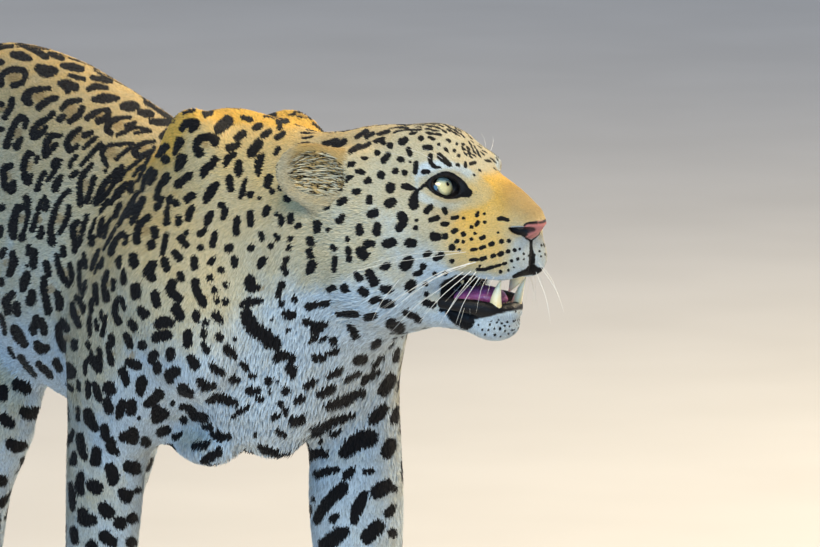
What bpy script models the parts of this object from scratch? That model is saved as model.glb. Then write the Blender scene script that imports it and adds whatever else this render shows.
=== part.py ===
"""A leopard in mid-stride, its head turned to its left and its mouth open, as a still, life-size figure.

The flesh is a field: egg shapes and tapering limbs that melt into each other, measured as a rough signed
distance to the tips of the coat. The field is turned into a mesh, thinned, cut at thin seams into named
pieces, and joined by the eyes, the tongue and the teeth.

Metres. X points forward, Y to the leopard's left and Z up, and the soles stand on Z = 0. The origin is
under the middle of the whole figure.
"""

import math

import bmesh
import bpy
import numpy as np
import openvdb
from mathutils import Matrix, Vector

# Driving dimensions
WITHERS = 0.678  # height of the shoulders
SINK = 0.003  # how far the pads press flat on the floor
ORIGIN = (-0.4309, 0.0064, SINK)  # the middle of the figure, in the frame that the shapes are placed in
GAP = 0.0004  # clearance between neighbouring pieces

HEAD_PLACE = (0.2799, 0.1054, 0.6289)  # midway between the eyes
HEAD_YAW, HEAD_PITCH = 27, 7  # degrees to the left and up
MM = 0.001  # the head's own sizes are in millimetres
EYE_PLACE, EYE_RADIUS, EYE_OUTWARD = (-11, 31, -1), 14.0, 21
EAR_ROOT, EAR_TIP = (-88, 58, 6), (-148, 100, 34)
CHEST_SECTION = (0.125, 0.152)  # half width and half depth of the ribs
WRIST, CANNON, HOCK = 0.030, 0.028, 0.033  # half thickness of the lower limbs
TAIL_THICKNESS = (0.047, 0.018)  # half thickness at the root and at the tip
PAW = (0.050, 0.036, 0.034)  # half length, width and height of a paw's pad

BODY_VOXEL, HEAD_VOXEL = 0.008, 0.0035
BODY_TRIANGLES, HEAD_TRIANGLES, TONGUE_TRIANGLES = 3700, 2500, 150

GOLD = (0.50, 0.31, 0.10)
CREAM = (0.66, 0.58, 0.44)
IVORY_GREEN = (0.62, 0.60, 0.30)
ROSE = (0.55, 0.12, 0.22)


# Fields: every mass is a list of pieces (low corner, high corner, distance function)


def unit(vector):
    vector = np.asarray(vector, float)
    return vector / np.linalg.norm(vector)


def turned(yaw=0.0, pitch=0.0, roll=0.0):
    """Axes (forward, left, up as columns) turned to the left, nose up, and over to the right, in degrees."""
    y, p, r = (math.radians(angle) for angle in (yaw, pitch, roll))
    about_z = np.array([[math.cos(y), -math.sin(y), 0], [math.sin(y), math.cos(y), 0], [0, 0, 1]])
    about_y = np.array([[math.cos(p), 0, -math.sin(p)], [0, 1, 0], [math.sin(p), 0, math.cos(p)]])
    about_x = np.array([[1, 0, 0], [0, math.cos(r), -math.sin(r)], [0, math.sin(r), math.cos(r)]])
    return about_z @ about_y @ about_x


def swell(local, radii):
    """Rough signed distance to an ellipsoid from points in its own axes."""
    near = np.linalg.norm(local / radii, axis=-1)
    slope = np.linalg.norm(local / radii**2, axis=-1)
    shallow = near * (near - 1) / np.maximum(slope, 1e-9)
    return np.where(near < 1e-3, -np.min(radii, axis=-1), shallow)


def egg(centre, radii, axes=np.eye(3)):
    centre, radii = np.asarray(centre, float), np.asarray(radii, float)
    reach = np.sqrt(((axes * radii) ** 2).sum(1))
    return [(centre - reach, centre + reach, lambda points: swell((points - centre) @ axes, radii))]


def curved(values, steps):
    """A smooth curve through the values, with some steps between each two."""
    ends = np.concatenate([2 * values[:1] - values[1:2], values, 2 * values[-1:] - values[-2:-1]])
    found = []
    for before, start, end, after in zip(ends[:-3], ends[1:-2], ends[2:-1], ends[3:]):
        for t in np.arange(steps) / steps:
            bend = 2 * before - 5 * start + 4 * end - after
            twist = 3 * start - before - 3 * end + after
            found.append(start + 0.5 * t * ((end - before) + t * (bend + t * twist)))
    return np.array(found + [values[-1]])


def limb(stations, side=(0, 1, 0), steps=4):
    """A limb through stations (point, half width along side, half depth)."""
    points = curved(np.array([station[0] for station in stations], float), steps)
    widths = curved(np.array([station[1:] for station in stations], float), steps)
    side = unit(side)
    pieces = []
    for start, end, width, next_width in zip(points[:-1], points[1:], widths[:-1], widths[1:]):
        along = end - start
        axis = unit(along)
        across = unit(side - axis * (side @ axis))
        axes = np.stack([across, np.cross(axis, across), axis], 1)
        most = max(width.max(), next_width.max())

        def distance(places, start=start, along=along, width=width, next_width=next_width, axes=axes):
            t = np.clip(((places - start) @ along) / (along @ along), 0, 1)[..., None]
            radii = width + t * (next_width - width)
            radii = np.concatenate([radii, radii.min(-1, keepdims=True)], -1)
            return swell((places - start - t * along) @ axes, radii)

        pieces.append((np.minimum(start, end) - most, np.maximum(start, end) + most, distance))
    return pieces


def melt(first, second, soft):
    """The nearer of two distances, with a soft fillet between them."""
    overlap = np.maximum(soft - np.abs(first - second), 0) / soft
    return np.minimum(first, second) - overlap * overlap * soft / 4


class Flesh:
    """Masses added to each other and cut from each other in order."""

    def __init__(self):
        self.steps = []

    def add(self, mass, soft):
        self.steps.append((1, mass, soft))

    def cut(self, mass, soft):
        self.steps.append((-1, mass, soft))

    def grid(self, low, high, voxel):
        """Distances on a regular grid between two corners."""
        low, high = np.asarray(low, float), np.asarray(high, float)
        count = np.ceil((high - low) / voxel).astype(int) + 1
        ticks = [low[i] + voxel * np.arange(count[i]) for i in range(3)]
        found = np.full(count, 1.0)
        for sign, mass, soft in self.steps:
            margin = soft + 3 * voxel

            def window(bottom, top):
                first = [max(0, int(np.searchsorted(ticks[i], bottom[i] - margin))) for i in range(3)]
                last = [int(np.searchsorted(ticks[i], top[i] + margin)) for i in range(3)]
                return tuple(slice(a, max(a, b)) for a, b in zip(first, last))

            whole = window(np.min([p[0] for p in mass], 0), np.max([p[1] for p in mass], 0))
            mine = np.full(found[whole].shape, 1.0)
            for bottom, top, distance in mass:
                part = window(bottom, top)
                if any(cells.stop == cells.start for cells in part):
                    continue
                places = np.stack(np.meshgrid(*(ticks[i][part[i]] for i in range(3)), indexing="ij"), -1)
                inner = tuple(slice(a.start - b.start, a.stop - b.start) for a, b in zip(part, whole))
                mine[inner] = np.minimum(mine[inner], distance(places))
            found[whole] = melt(found[whole], mine, soft) if sign > 0 else -melt(-found[whole], mine, soft)
        return found


# The leopard's masses


def trunk(flesh):
    width, depth = CHEST_SECTION
    flesh.add(limb([
        ((-0.690, 0.012, 0.563), 0.060, 0.075),
        ((-0.620, 0.004, 0.572), 0.090, 0.103),
        ((-0.500, -0.010, 0.557), 0.108, 0.125),
        ((-0.390, -0.020, 0.533), 0.117, 0.142),
        ((-0.280, -0.024, 0.508), width, depth),
        ((-0.180, -0.022, 0.495), width - 0.004, depth - 0.007),
        ((-0.080, -0.012, 0.492), 0.110, 0.139),
        ((0.010, 0.004, 0.492), 0.098, 0.134),
        ((0.070, 0.016, 0.490), 0.075, 0.105),
    ]), 0.03)


def quarters(flesh):
    """Shoulder blades, shoulders and elbows, then breast, dewlap and thighs."""
    for side, ahead, drop in ((1, -0.024, 0.013), (-1, 0.014, 0.0)):
        blade = (ahead, side * 0.046, WITHERS - 0.075 - drop)
        flesh.add(egg(blade, (0.072, 0.032, 0.080), turned(pitch=-15, roll=side * -12)), 0.03)
        shoulder = (0.055 + ahead * 0.3, side * 0.080, 0.495)
        flesh.add(egg(shoulder, (0.070, 0.046, 0.085), turned(pitch=20)), 0.04)
        flesh.add(egg((-0.065, side * 0.090, 0.455), (0.070, 0.042, 0.080)), 0.04)
    flesh.add(egg((0.006, -0.012, 0.600), (0.080, 0.040, 0.070)), 0.03)
    flesh.add(egg((0.03, 0.01, 0.43), (0.085, 0.070, 0.070)), 0.03)
    for place, size in (((-0.012, -0.036, 0.356), 0.023), ((0.022, 0.018, 0.362), 0.018)):
        flesh.add(egg(place, (size * 2.2, size * 1.2, size)), 0.02)
    for side, ahead in ((1, -0.02), (-1, 0.03)):
        flesh.add(egg((-0.600 + ahead, side * 0.070, 0.520), (0.110, 0.052, 0.125), turned(pitch=-15)), 0.05)


def neck(flesh):
    flesh.add(limb([
        ((-0.020, 0.000, 0.566), 0.080, 0.092),
        ((0.060, 0.016, 0.557), 0.088, 0.105),
        ((0.120, 0.034, 0.556), 0.090, 0.109),
        ((0.180, 0.056, 0.575), 0.084, 0.098),
    ], side=(-0.3, 0.95, 0)), 0.05)


def forelegs(flesh):
    """The right foreleg trails, the left one reaches forward."""
    flesh.add(limb([
        ((0.020, -0.092, 0.520), 0.050, 0.075),
        ((-0.040, -0.102, 0.440), 0.045, 0.064),
        ((-0.090, -0.102, 0.365), 0.039, 0.052),
        ((-0.108, -0.100, 0.290), 0.037, 0.046),
        ((-0.124, -0.098, 0.210), 0.034, 0.039),
        ((-0.138, -0.096, 0.125), WRIST, WRIST + 0.002),
        ((-0.130, -0.096, 0.075), WRIST + 0.001, WRIST - 0.001),
    ]), 0.045)
    flesh.add(limb([
        ((0.046, 0.092, 0.520), 0.045, 0.070),
        ((0.018, 0.100, 0.440), 0.046, 0.068),
        ((0.014, 0.108, 0.365), 0.044, 0.052),
        ((0.014, 0.109, 0.290), 0.046, 0.051),
        ((0.025, 0.107, 0.210), 0.040, 0.044),
        ((0.042, 0.104, 0.125), WRIST + 0.001, WRIST + 0.003),
        ((0.054, 0.104, 0.075), WRIST + 0.003, WRIST + 0.001),
    ]), 0.045)


def hindlegs(flesh):
    """The right hind leg reaches forward, the left one stands nearly under the hips."""
    flesh.add(limb([
        ((-0.580, -0.070, 0.520), 0.050, 0.105),
        ((-0.480, -0.086, 0.430), 0.050, 0.085),
        ((-0.402, -0.092, 0.352), 0.042, 0.058),
        ((-0.443, -0.092, 0.270), 0.032, 0.044),
        ((-0.466, -0.090, 0.195), CANNON, HOCK + 0.002),
        ((-0.481, -0.090, 0.150), CANNON - 0.003, HOCK - 0.002),
        ((-0.463, -0.090, 0.100), CANNON - 0.002, CANNON - 0.002),
        ((-0.437, -0.090, 0.060), CANNON + 0.001, CANNON - 0.002),
    ]), 0.05)
    flesh.add(limb([
        ((-0.610, 0.070, 0.520), 0.050, 0.105),
        ((-0.555, 0.080, 0.430), 0.048, 0.085),
        ((-0.490, 0.084, 0.350), 0.038, 0.058),
        ((-0.514, 0.084, 0.270), 0.033, 0.048),
        ((-0.557, 0.083, 0.200), CANNON, HOCK + 0.002),
        ((-0.582, 0.082, 0.158), CANNON - 0.003, HOCK - 0.002),
        ((-0.570, 0.082, 0.105), CANNON - 0.002, CANNON - 0.002),
        ((-0.546, 0.082, 0.060), CANNON + 0.001, CANNON - 0.002),
    ]), 0.05)


def paw(flesh, x, y, heading):
    """A paw's pad with four toes fanned in front of it."""
    axes = turned(yaw=heading)
    length, width, height = PAW
    flesh.add(egg(np.array([x, y, height]), PAW, axes), 0.02)
    for spread in (-0.83, -0.29, 0.29, 0.83):
        reach = length * (0.92 if abs(spread) < 0.5 else 0.68)
        place = np.array([x, y, 0]) + axes @ np.array([reach, spread * width, height * 0.68])
        toe = turned(yaw=heading + spread * 11)
        flesh.add(egg(place, (length * 0.48, width * 0.35, height * 0.66), toe), 0.008)


def paws(flesh):
    paw(flesh, -0.118, -0.096, 8)
    paw(flesh, 0.076, 0.104, 4)
    paw(flesh, -0.417, -0.090, 5)
    paw(flesh, -0.526, 0.082, 0)


def tail(flesh):
    """The tail hangs from the hips and curls up at its end."""
    route = [
        (-0.720, 0.012, 0.580), (-0.785, 0.016, 0.535), (-0.845, 0.022, 0.450), (-0.890, 0.030, 0.350),
        (-0.935, 0.034, 0.250), (-1.000, 0.034, 0.170), (-1.085, 0.026, 0.140), (-1.160, 0.014, 0.165),
        (-1.205, 0.006, 0.220),
    ]
    root, tip = TAIL_THICKNESS
    stations = []
    for number, place in enumerate(route):
        t = number / (len(route) - 1)
        thickness = tip + (root - tip) * (0.6 * (1 - t) ** 4 + 0.4 * math.sqrt(1 - t))
        stations.append((place, thickness, thickness * 1.03))
    flesh.add(limb(stations), 0.03)


# The head has its own frame: millimetres forward, left and up from midway between the eyes

HEAD = turned(HEAD_YAW, HEAD_PITCH)


def in_head(x, y, z):
    return np.array(HEAD_PLACE) + HEAD @ (np.array([x, y, z], float) * MM)


def head_egg(x, y, z, length, width, height, yaw=0, pitch=0):
    return egg(in_head(x, y, z), np.array([length, width, height]) * MM, HEAD @ turned(yaw, pitch))


def head_limb(*stations):
    """Stations are x, y, z, half width and half depth."""
    placed = [(in_head(x, y, z), width * MM, depth * MM) for x, y, z, width, depth in stations]
    return limb(placed, side=HEAD @ unit((0, 1, 0)))


def skull(flesh):
    flesh.add(head_egg(-66, 0, -6, 72, 62, 63), 0.03)
    flesh.add(head_egg(-30, 0, 2, 42, 46, 50), 0.025)
    for side in (1, -1):
        flesh.add(head_egg(-6, side * 31, 14, 22, 16, 12, yaw=side * -25), 0.014)  # brow
        flesh.add(head_egg(-30, side * 40, -34, 36, 30, 30, yaw=side * 12), 0.02)  # cheekbone
        flesh.add(head_egg(-74, side * 46, -66, 50, 38, 56), 0.03)  # ruff over the jaw muscle
    flesh.add(head_egg(-70, 0, -84, 62, 46, 42), 0.03)  # throat


def muzzle(flesh):
    bridge = ((-14, 0, 0, 27, 26), (12, 0, -4, 25, 21), (44, 0, -20, 23, 17), (65, 0, -34, 20, 14))
    flesh.add(head_limb(*bridge), 0.018)
    flesh.add(head_egg(22, 0, -54, 44, 36, 33), 0.018)
    for side in (1, -1):
        flesh.add(head_egg(37, side * 13, -42, 28, 19, 20, pitch=-25), 0.015)  # flank of the nose
        flesh.add(head_egg(0, side * 31, -60, 34, 22, 28), 0.02)  # cheek behind the whiskers
        flesh.add(head_egg(37, side * 18, -70, 30, 22, 21, yaw=side * -6), 0.012)  # whisker pad
        flesh.add(head_egg(46, side * 13, -78, 20, 15, 13), 0.010)  # lip below it
    flesh.add(head_egg(53, 0, -69, 13, 15, 18), 0.008)
    flesh.add(head_egg(71, 0, -41.5, 12, 17, 9.5, pitch=-8), 0.006)  # nose


def jaw_and_mouth(flesh):
    flesh.add(head_egg(17, 0, -130, 22, 24, 16, pitch=-16), 0.01)
    flesh.add(head_limb((14, 0, -127, 23, 15), (-14, 0, -118, 34, 18), (-45, 0, -104, 42, 26)), 0.012)
    gape = ((80, 0, -104, 45, 12.5), (45, 0, -103, 44, 12.5), (18, 0, -99.5, 46, 14.5), (-6, 0, -105, 46, 7))
    flesh.cut(head_limb(*gape), 0.006)


def ear(flesh, side):
    """A round shell on a broad base, laid back and opening outwards."""
    root, tip = (in_head(x, side * y, z) for x, y, z in (EAR_ROOT, EAR_TIP))
    up = unit(tip - root)
    opening = HEAD @ unit((0.5, side * 0.85, -0.1))
    out = unit(opening - up * (opening @ up))
    axes = np.stack([out, np.cross(up, out), up], 1)
    middle = (root + tip) / 2
    flesh.add(egg(root + (tip - root) * 0.1 - out * 0.004, (0.022, 0.034, 0.030), axes), 0.02)
    flesh.add(egg(middle, (0.012, 0.032, 0.038), axes), 0.012)
    flesh.cut(egg(middle + out * 0.014, (0.015, 0.025, 0.031), axes), 0.003)


def eye_axes(side):
    """Along the slit, up across it, and out along the gaze."""
    gaze = HEAD @ turned(yaw=side * EYE_OUTWARD, pitch=5)[:, 0]
    slit = HEAD @ unit((-0.52, side * 0.79, 0.37))
    slit = unit(slit - gaze * (slit @ gaze))
    return np.stack([slit, np.cross(gaze, slit) * side, gaze], 1)


def eye_centre(side):
    x, y, z = EYE_PLACE
    return in_head(x, side * y, z)


def socket(flesh, side):
    """The opening between the lids, in front of the eyeball."""
    axes = eye_axes(side)
    front = eye_centre(side) + axes[:, 2] * EYE_RADIUS * MM
    flesh.cut(egg(front, (0.0155, 0.0095, 0.009), axes), 0.004)


def leopard():
    flesh = Flesh()
    for make in (trunk, quarters, neck, forelegs, hindlegs, paws, tail, skull, muzzle, jaw_and_mouth):
        make(flesh)
    for side in (1, -1):
        ear(flesh, side)
        socket(flesh, side)
    return flesh


# Meshes


def new_object(name, mesh):
    piece = bpy.data.objects.new(name, mesh)
    bpy.context.scene.collection.objects.link(piece)
    return piece


def settle(piece):
    """Puts what the modifiers make into the object's own mesh."""
    bpy.context.view_layer.update()
    evaluated = piece.evaluated_get(bpy.context.evaluated_depsgraph_get())
    mesh = bpy.data.meshes.new_from_object(evaluated)
    piece.modifiers.clear()
    piece.data = mesh


def surface(name, flesh, low, high, voxel, triangles):
    """The field's surface as one closed mesh of about so many triangles, moved to the figure's origin."""
    grid = openvdb.FloatGrid(1.0)
    grid.copyFromArray(flesh.grid(low, high, voxel).astype(np.float32))
    points, quads = grid.convertToQuads(0.0)
    mesh = bpy.data.meshes.new(name)
    mesh.from_pydata((points * voxel + np.array(low) - np.array(ORIGIN)).tolist(), [], quads.tolist())
    piece = new_object(name, mesh)
    thin = piece.modifiers.new("Thin", "DECIMATE")
    thin.ratio = triangles / (2 * len(quads))
    settle(piece)
    return piece


def block(centre, along, size):
    """A closed box whose third side lies along a direction."""
    form = bmesh.new()
    bmesh.ops.create_cube(form, size=1.0)
    turn = Vector(along).to_track_quat("Z", "Y").to_matrix().to_4x4()
    place = Matrix.Translation(Vector(centre) - Vector(ORIGIN)) @ turn @ Matrix.Diagonal((*size, 1.0))
    bmesh.ops.transform(form, matrix=place, verts=form.verts)
    return form


def shell(centre, along, size):
    """A hollow box whose wall is the gap, to free what is inside it."""
    form = block(centre, along, size)
    inner = block(centre, along, [side - 2 * GAP for side in size])
    bmesh.ops.reverse_faces(inner, faces=inner.faces)
    mesh = bpy.data.meshes.new("Inner")
    inner.to_mesh(mesh)
    inner.free()
    form.from_mesh(mesh)
    bpy.data.meshes.remove(mesh)
    return form


def ball(centre, radius, gaze, segments=16):
    form = bmesh.new()
    bmesh.ops.create_uvsphere(form, u_segments=segments, v_segments=segments // 2, radius=radius)
    turn = Vector(gaze).to_track_quat("Z", "Y").to_matrix().to_4x4()
    place = Matrix.Translation(Vector(centre) - Vector(ORIGIN)) @ turn
    bmesh.ops.transform(form, matrix=place, verts=form.verts)
    return form


def tooth(root, tip, thickness, sides=10):
    """A blunt cone from root to tip, in the head's frame."""
    start, end = (Vector(in_head(*place)) for place in (root, tip))
    form = bmesh.new()
    wide, narrow = thickness * MM, thickness * MM * 0.25
    length = (end - start).length
    bmesh.ops.create_cone(form, cap_ends=True, segments=sides, radius1=wide, radius2=narrow, depth=length)
    turn = (end - start).to_track_quat("Z", "Y").to_matrix().to_4x4()
    place = Matrix.Translation((start + end) / 2 - Vector(ORIGIN)) @ turn
    bmesh.ops.transform(form, matrix=place, verts=form.verts)
    return form


def carve(piece, forms, operation="DIFFERENCE"):
    """Takes each form from the piece, or joins it to the piece."""
    for form in forms:
        mesh = bpy.data.meshes.new("Tool")
        form.to_mesh(mesh)
        form.free()
        tool = new_object("Tool", mesh)
        tool.hide_render = True
        tool.display_type = "WIRE"
        boolean = piece.modifiers.new("Carve", "BOOLEAN")
        boolean.operation = operation
        boolean.solver = "EXACT"
        boolean.object = tool
        settle(piece)
        bpy.data.objects.remove(tool)


def teeth(upper):
    """Canines and incisors, as forms. The upper right canine is worn short."""
    forms = []
    for side, length in ((1, 1.0), (-1, 0.55)) if upper else ((1, 1.0), (-1, 1.0)):
        if upper:
            root, tip = np.array([30, side * 20, -74]), np.array([19, side * 19, -103])
        else:
            root, tip = np.array([27, side * 14, -125]), np.array([40, side * 18, -93])
        forms.append(tooth(root, root + (tip - root) * length, 6.5 if upper else 5.5))
    for place in (-2.5, -1.5, -0.5, 0.5, 1.5, 2.5):
        base, top = (-78, -92) if upper else (-122, -109)
        ahead = (46 if upper else 31) - 0.5 * place * place
        across = place * 4.2
        forms.append(tooth((ahead - 2, across, base), (ahead, across, top), 2.6, sides=6))
    return forms


def islands(piece):
    """The separate closed bodies of a mesh, each as a mesh of its own."""
    form = bmesh.new()
    form.from_mesh(piece.data)
    bmesh.ops.remove_doubles(form, verts=form.verts, dist=1e-6)
    waiting = set(form.faces)
    found = []
    while waiting:
        patch = {waiting.pop()}
        edge = set(patch)
        while edge:
            edge = {near for face in edge for side in face.edges for near in side.link_faces} & waiting
            patch |= edge
            waiting -= edge
        body = bmesh.new()
        copies = {}
        for face in patch:
            for corner in face.verts:
                if corner not in copies:
                    copies[corner] = body.verts.new(corner.co)
            body.faces.new([copies[corner] for corner in face.verts])
        found.append(body)
    form.free()
    return found


def coat(name, colour, roughness=0.75):
    material = bpy.data.materials.new(name)
    material.use_nodes = True
    shader = material.node_tree.nodes["Principled BSDF"]
    shader.inputs["Base Color"].default_value = (*colour, 1.0)
    shader.inputs["Roughness"].default_value = roughness
    shader.inputs["Metallic"].default_value = 0.0
    return material


def finish(name, form, colour, roughness=0.75):
    mesh = bpy.data.meshes.new(name)
    form.to_mesh(mesh)
    form.free()
    mesh.shade_smooth()
    mesh.set_sharp_from_angle(angle=math.radians(50))
    mesh.materials.append(coat(name, colour, roughness))
    return new_object(name, mesh)


# Seams: a thin slab across each joint, and the pieces that they leave, told apart by where they lie

HEAD_SEAM = (in_head(-150, 0, 0), HEAD @ unit((1, 0, 0.25)))
NECK_SEAM = ((0.100, 0.030, 0.560), (0.93, 0.28, 0.25))

BODY_SEAMS = [  # centre, direction across the seam, and the slab's size
    (*NECK_SEAM, 0.5),
    ((-0.300, -0.02, 0.50), (1, 0, 0), 0.5),
    ((-0.095, -0.11, 0.335), (0, 0, 1), 0.18),
    ((0.005, 0.12, 0.335), (0, 0, 1), 0.18),
    ((-0.410, -0.11, 0.330), (0, 0, 1), 0.18),
    ((-0.505, 0.11, 0.330), (0, 0, 1), 0.18),
    ((-0.130, -0.096, 0.083), (0, 0, 1), 0.14),
    ((0.055, 0.104, 0.083), (0, 0, 1), 0.14),
    ((-0.450, -0.090, 0.083), (0, 0, 1), 0.14),
    ((-0.560, 0.082, 0.083), (0, 0, 1), 0.14),
    ((-0.785, 0.016, 0.533), (-0.8, 0, -0.6), 0.22),
    ((-0.868, 0.026, 0.400), (-0.4, 0, -0.9), 0.12),
    ((-0.962, 0.034, 0.210), (-0.7, 0, -0.7), 0.12),
    ((-1.090, 0.026, 0.140), (-1, 0, 0), 0.12),
]
BODY_PIECES = {
    "neck": (0.14, 0.04, 0.56),
    "chest": (-0.10, -0.01, 0.50),
    "loin": (-0.50, -0.01, 0.52),
    "foreleg_right": (-0.118, -0.10, 0.21),
    "foreleg_left": (0.02, 0.107, 0.21),
    "hindleg_right": (-0.45, -0.09, 0.21),
    "hindleg_left": (-0.53, 0.083, 0.21),
    "forepaw_right": (-0.118, -0.096, 0.035),
    "forepaw_left": (0.076, 0.104, 0.035),
    "hindpaw_right": (-0.42, -0.09, 0.035),
    "hindpaw_left": (-0.53, 0.082, 0.035),
    "tail_root": (-0.82, 0.02, 0.48),
    "tail_upper": (-0.92, 0.03, 0.30),
    "tail_lower": (-1.02, 0.03, 0.16),
    "tail_tip": (-1.16, 0.01, 0.17),
}
HEAD_PIECES = {
    "head": in_head(-40, 0, -20),
    "lower_jaw": in_head(15, 0, -128),
    "ear_right": in_head(-125, -84, 24),
    "ear_left": in_head(-125, 84, 24),
}


def middle(form):
    corners = np.array([corner.co for corner in form.verts])
    return (corners.min(0) + corners.max(0)) / 2 + np.array(ORIGIN)


def name_pieces(piece, places, colour):
    """Turns each separate body into a node, named by the place that its middle is nearest to."""
    forms = islands(piece)
    bpy.data.objects.remove(piece)
    names = list(places)
    for form in forms:
        away = [np.linalg.norm(middle(form) - np.array(places[name])) for name in names]
        finish(names[int(np.argmin(away))], form, colour)


def body():
    piece = surface("body", leopard(), (-1.26, -0.20, -0.02), (0.30, 0.24, 0.74), BODY_VOXEL, BODY_TRIANGLES)
    beyond, outward = HEAD_SEAM
    slabs = [
        block(np.array(beyond) + outward * (0.25 - GAP / 2), outward, (0.6, 0.6, 0.5)),
        block((-0.45, 0, SINK - 0.05), (0, 0, 1), (2.0, 1.0, 0.1)),
    ]
    slabs += [block(centre, along, (size, size, GAP)) for centre, along, size in BODY_SEAMS]
    carve(piece, slabs)
    name_pieces(piece, BODY_PIECES, GOLD)


def tongue_form():
    tongue = Flesh()
    route = ((-22, 0, -108, 20, 9), (0, 0, -106, 20, 9), (16, 0, -107, 16, 8), (25, 0, -110, 10, 5))
    tongue.add(head_limb(*route), 0.01)
    return tongue


def head():
    low, high = in_head(-60, 0, -20) - 0.19, in_head(-60, 0, -20) + 0.19
    piece = surface("head", leopard(), low, high, HEAD_VOXEL, HEAD_TRIANGLES)
    seam, outward = HEAD_SEAM
    cuts = [block(np.array(seam) - outward * (0.25 - GAP / 2), outward, (0.8, 0.8, 0.5))]
    for side in (1, -1):
        gaze = eye_axes(side)[:, 2]
        cuts.append(ball(eye_centre(side), EYE_RADIUS * MM + GAP, gaze))
        name = "eye_left" if side > 0 else "eye_right"
        finish(name, ball(eye_centre(side), EYE_RADIUS * MM, gaze), IVORY_GREEN, 0.1)
    carve(piece, cuts)
    carve(piece, teeth(upper=True) + teeth(upper=False), "UNION")
    tongue = surface("tongue", tongue_form(), low, high, HEAD_VOXEL, TONGUE_TRIANGLES)
    room = bmesh.new()
    room.from_mesh(tongue.data)
    for corner in room.verts:
        corner.co += corner.normal * GAP
    carve(piece, [room])
    tongue.data.materials.append(coat("tongue", ROSE, 0.35))
    jaw_seam = block(in_head(-8, 0, -150), HEAD @ unit((1, 0, 0)), (0.1, 0.092, GAP))
    ear_seams = []
    for side in (1, -1):
        root, tip = (in_head(x, side * y, z) for x, y, z in (EAR_ROOT, EAR_TIP))
        ear_seams.append(shell(root + (tip - root) * 0.80, tip - root, (0.085, 0.085, 0.080)))
    carve(piece, [jaw_seam] + ear_seams)
    name_pieces(piece, HEAD_PIECES, CREAM)


for old in list(bpy.data.objects):
    bpy.data.objects.remove(old)
body()
head()
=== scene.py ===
"""A leopard in mid-stride, life size.

One skin covers the flesh, under a short coat of tufts. Eyes, teeth, tongue, claws and whiskers are pieces
of their own.
"""

import math
from itertools import product

import bmesh
import bpy
import numpy as np
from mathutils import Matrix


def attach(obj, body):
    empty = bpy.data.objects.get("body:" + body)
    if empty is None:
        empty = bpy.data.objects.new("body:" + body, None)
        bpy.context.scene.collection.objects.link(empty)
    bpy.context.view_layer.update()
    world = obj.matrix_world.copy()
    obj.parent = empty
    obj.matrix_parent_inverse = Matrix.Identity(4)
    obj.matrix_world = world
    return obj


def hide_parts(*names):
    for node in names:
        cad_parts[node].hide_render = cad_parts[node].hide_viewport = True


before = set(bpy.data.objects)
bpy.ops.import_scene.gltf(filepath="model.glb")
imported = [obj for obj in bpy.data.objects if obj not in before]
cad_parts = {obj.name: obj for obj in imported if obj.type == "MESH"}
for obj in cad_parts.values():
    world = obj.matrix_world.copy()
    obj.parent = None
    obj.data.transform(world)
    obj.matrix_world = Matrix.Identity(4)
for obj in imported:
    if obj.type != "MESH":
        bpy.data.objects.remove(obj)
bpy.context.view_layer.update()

import openvdb
from mathutils import Matrix, Vector
from mathutils.bvhtree import BVHTree

# Sizes, in metres, or in millimetres for places of the head's own frame. The shapes are placed in a working
# frame whose floor is a little below zero

WITHERS = 0.678
SINK = 0.003
ORIGIN = np.array((-0.4309, 0.0064, SINK))
HEAD_PLACE = np.array((0.2799, 0.1054, 0.6289))  # midway between the eyes
HEAD_YAW, HEAD_PITCH = 27, 7
MM = 0.001
EYE_PLACE, EYE_RADIUS, EYE_OUTWARD = (-11, 31, -1), 14.0, 21
LID_BALL, LID_OPENING = 0.0166, (13.5, 8.7)  # its radius in metres; half the opening's size in millimetres
LID_SLIT, INNER_CORNER, TEAR_SLIT = (0.0130, 0.0082, 0.0085), (0.006, 0.005, 0.005), (0.0045, 0.0016, 0.003)
EAR_ROOT, EAR_TIP = (-88, 58, 6), (-148, 100, 34)
EAR_HOLLOW, HOLLOW_OUT = (0.015, 0.025, 0.031), 0.014  # its half sizes, and how far out of the ear it lies
CHEST_SECTION = (0.125, 0.152)
WRIST, CANNON, HOCK = 0.030, 0.028, 0.033
TAIL_THICKNESS = (0.047, 0.018)
PAW = (0.050, 0.036, 0.034)
TAIL_ROUTE = (
    (-0.720, 0.012, 0.580), (-0.785, 0.016, 0.535), (-0.845, 0.022, 0.450), (-0.890, 0.030, 0.350),
    (-0.935, 0.034, 0.250), (-1.000, 0.034, 0.170), (-1.085, 0.026, 0.140), (-1.160, 0.014, 0.165),
    (-1.205, 0.006, 0.220),
)
PAW_PLACES = ((-0.118, -0.096, 8), (0.076, 0.104, 4), (-0.417, -0.090, 5), (-0.526, 0.082, 0))

BODY_VOXEL, NAPE_VOXEL, FACE_VOXEL = 0.0064, 0.0034, 0.00155
TUFTS = 1.0  # share of the full number of tufts
PATCH = 0.003  # width of a tuft's patch on the unwrap
CURVE_STEPS = 4  # between two stations of a limb, or two stops of a mark
MARK_SIZE, MARK_SPACING = 1.20, 0.90
MARK_CELL = 0.012  # side of the cells that places are sorted into, in metres
HAND_GAP = 0.75  # how far the others stay from the drawn marks, in shares of their spacing

# Fields: every mass is a list of pieces (low corner, high corner, distance function)


def unit(vector):
    vector = np.asarray(vector, float)
    return vector / np.maximum(np.linalg.norm(vector, axis=-1, keepdims=True), 1e-12)


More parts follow.
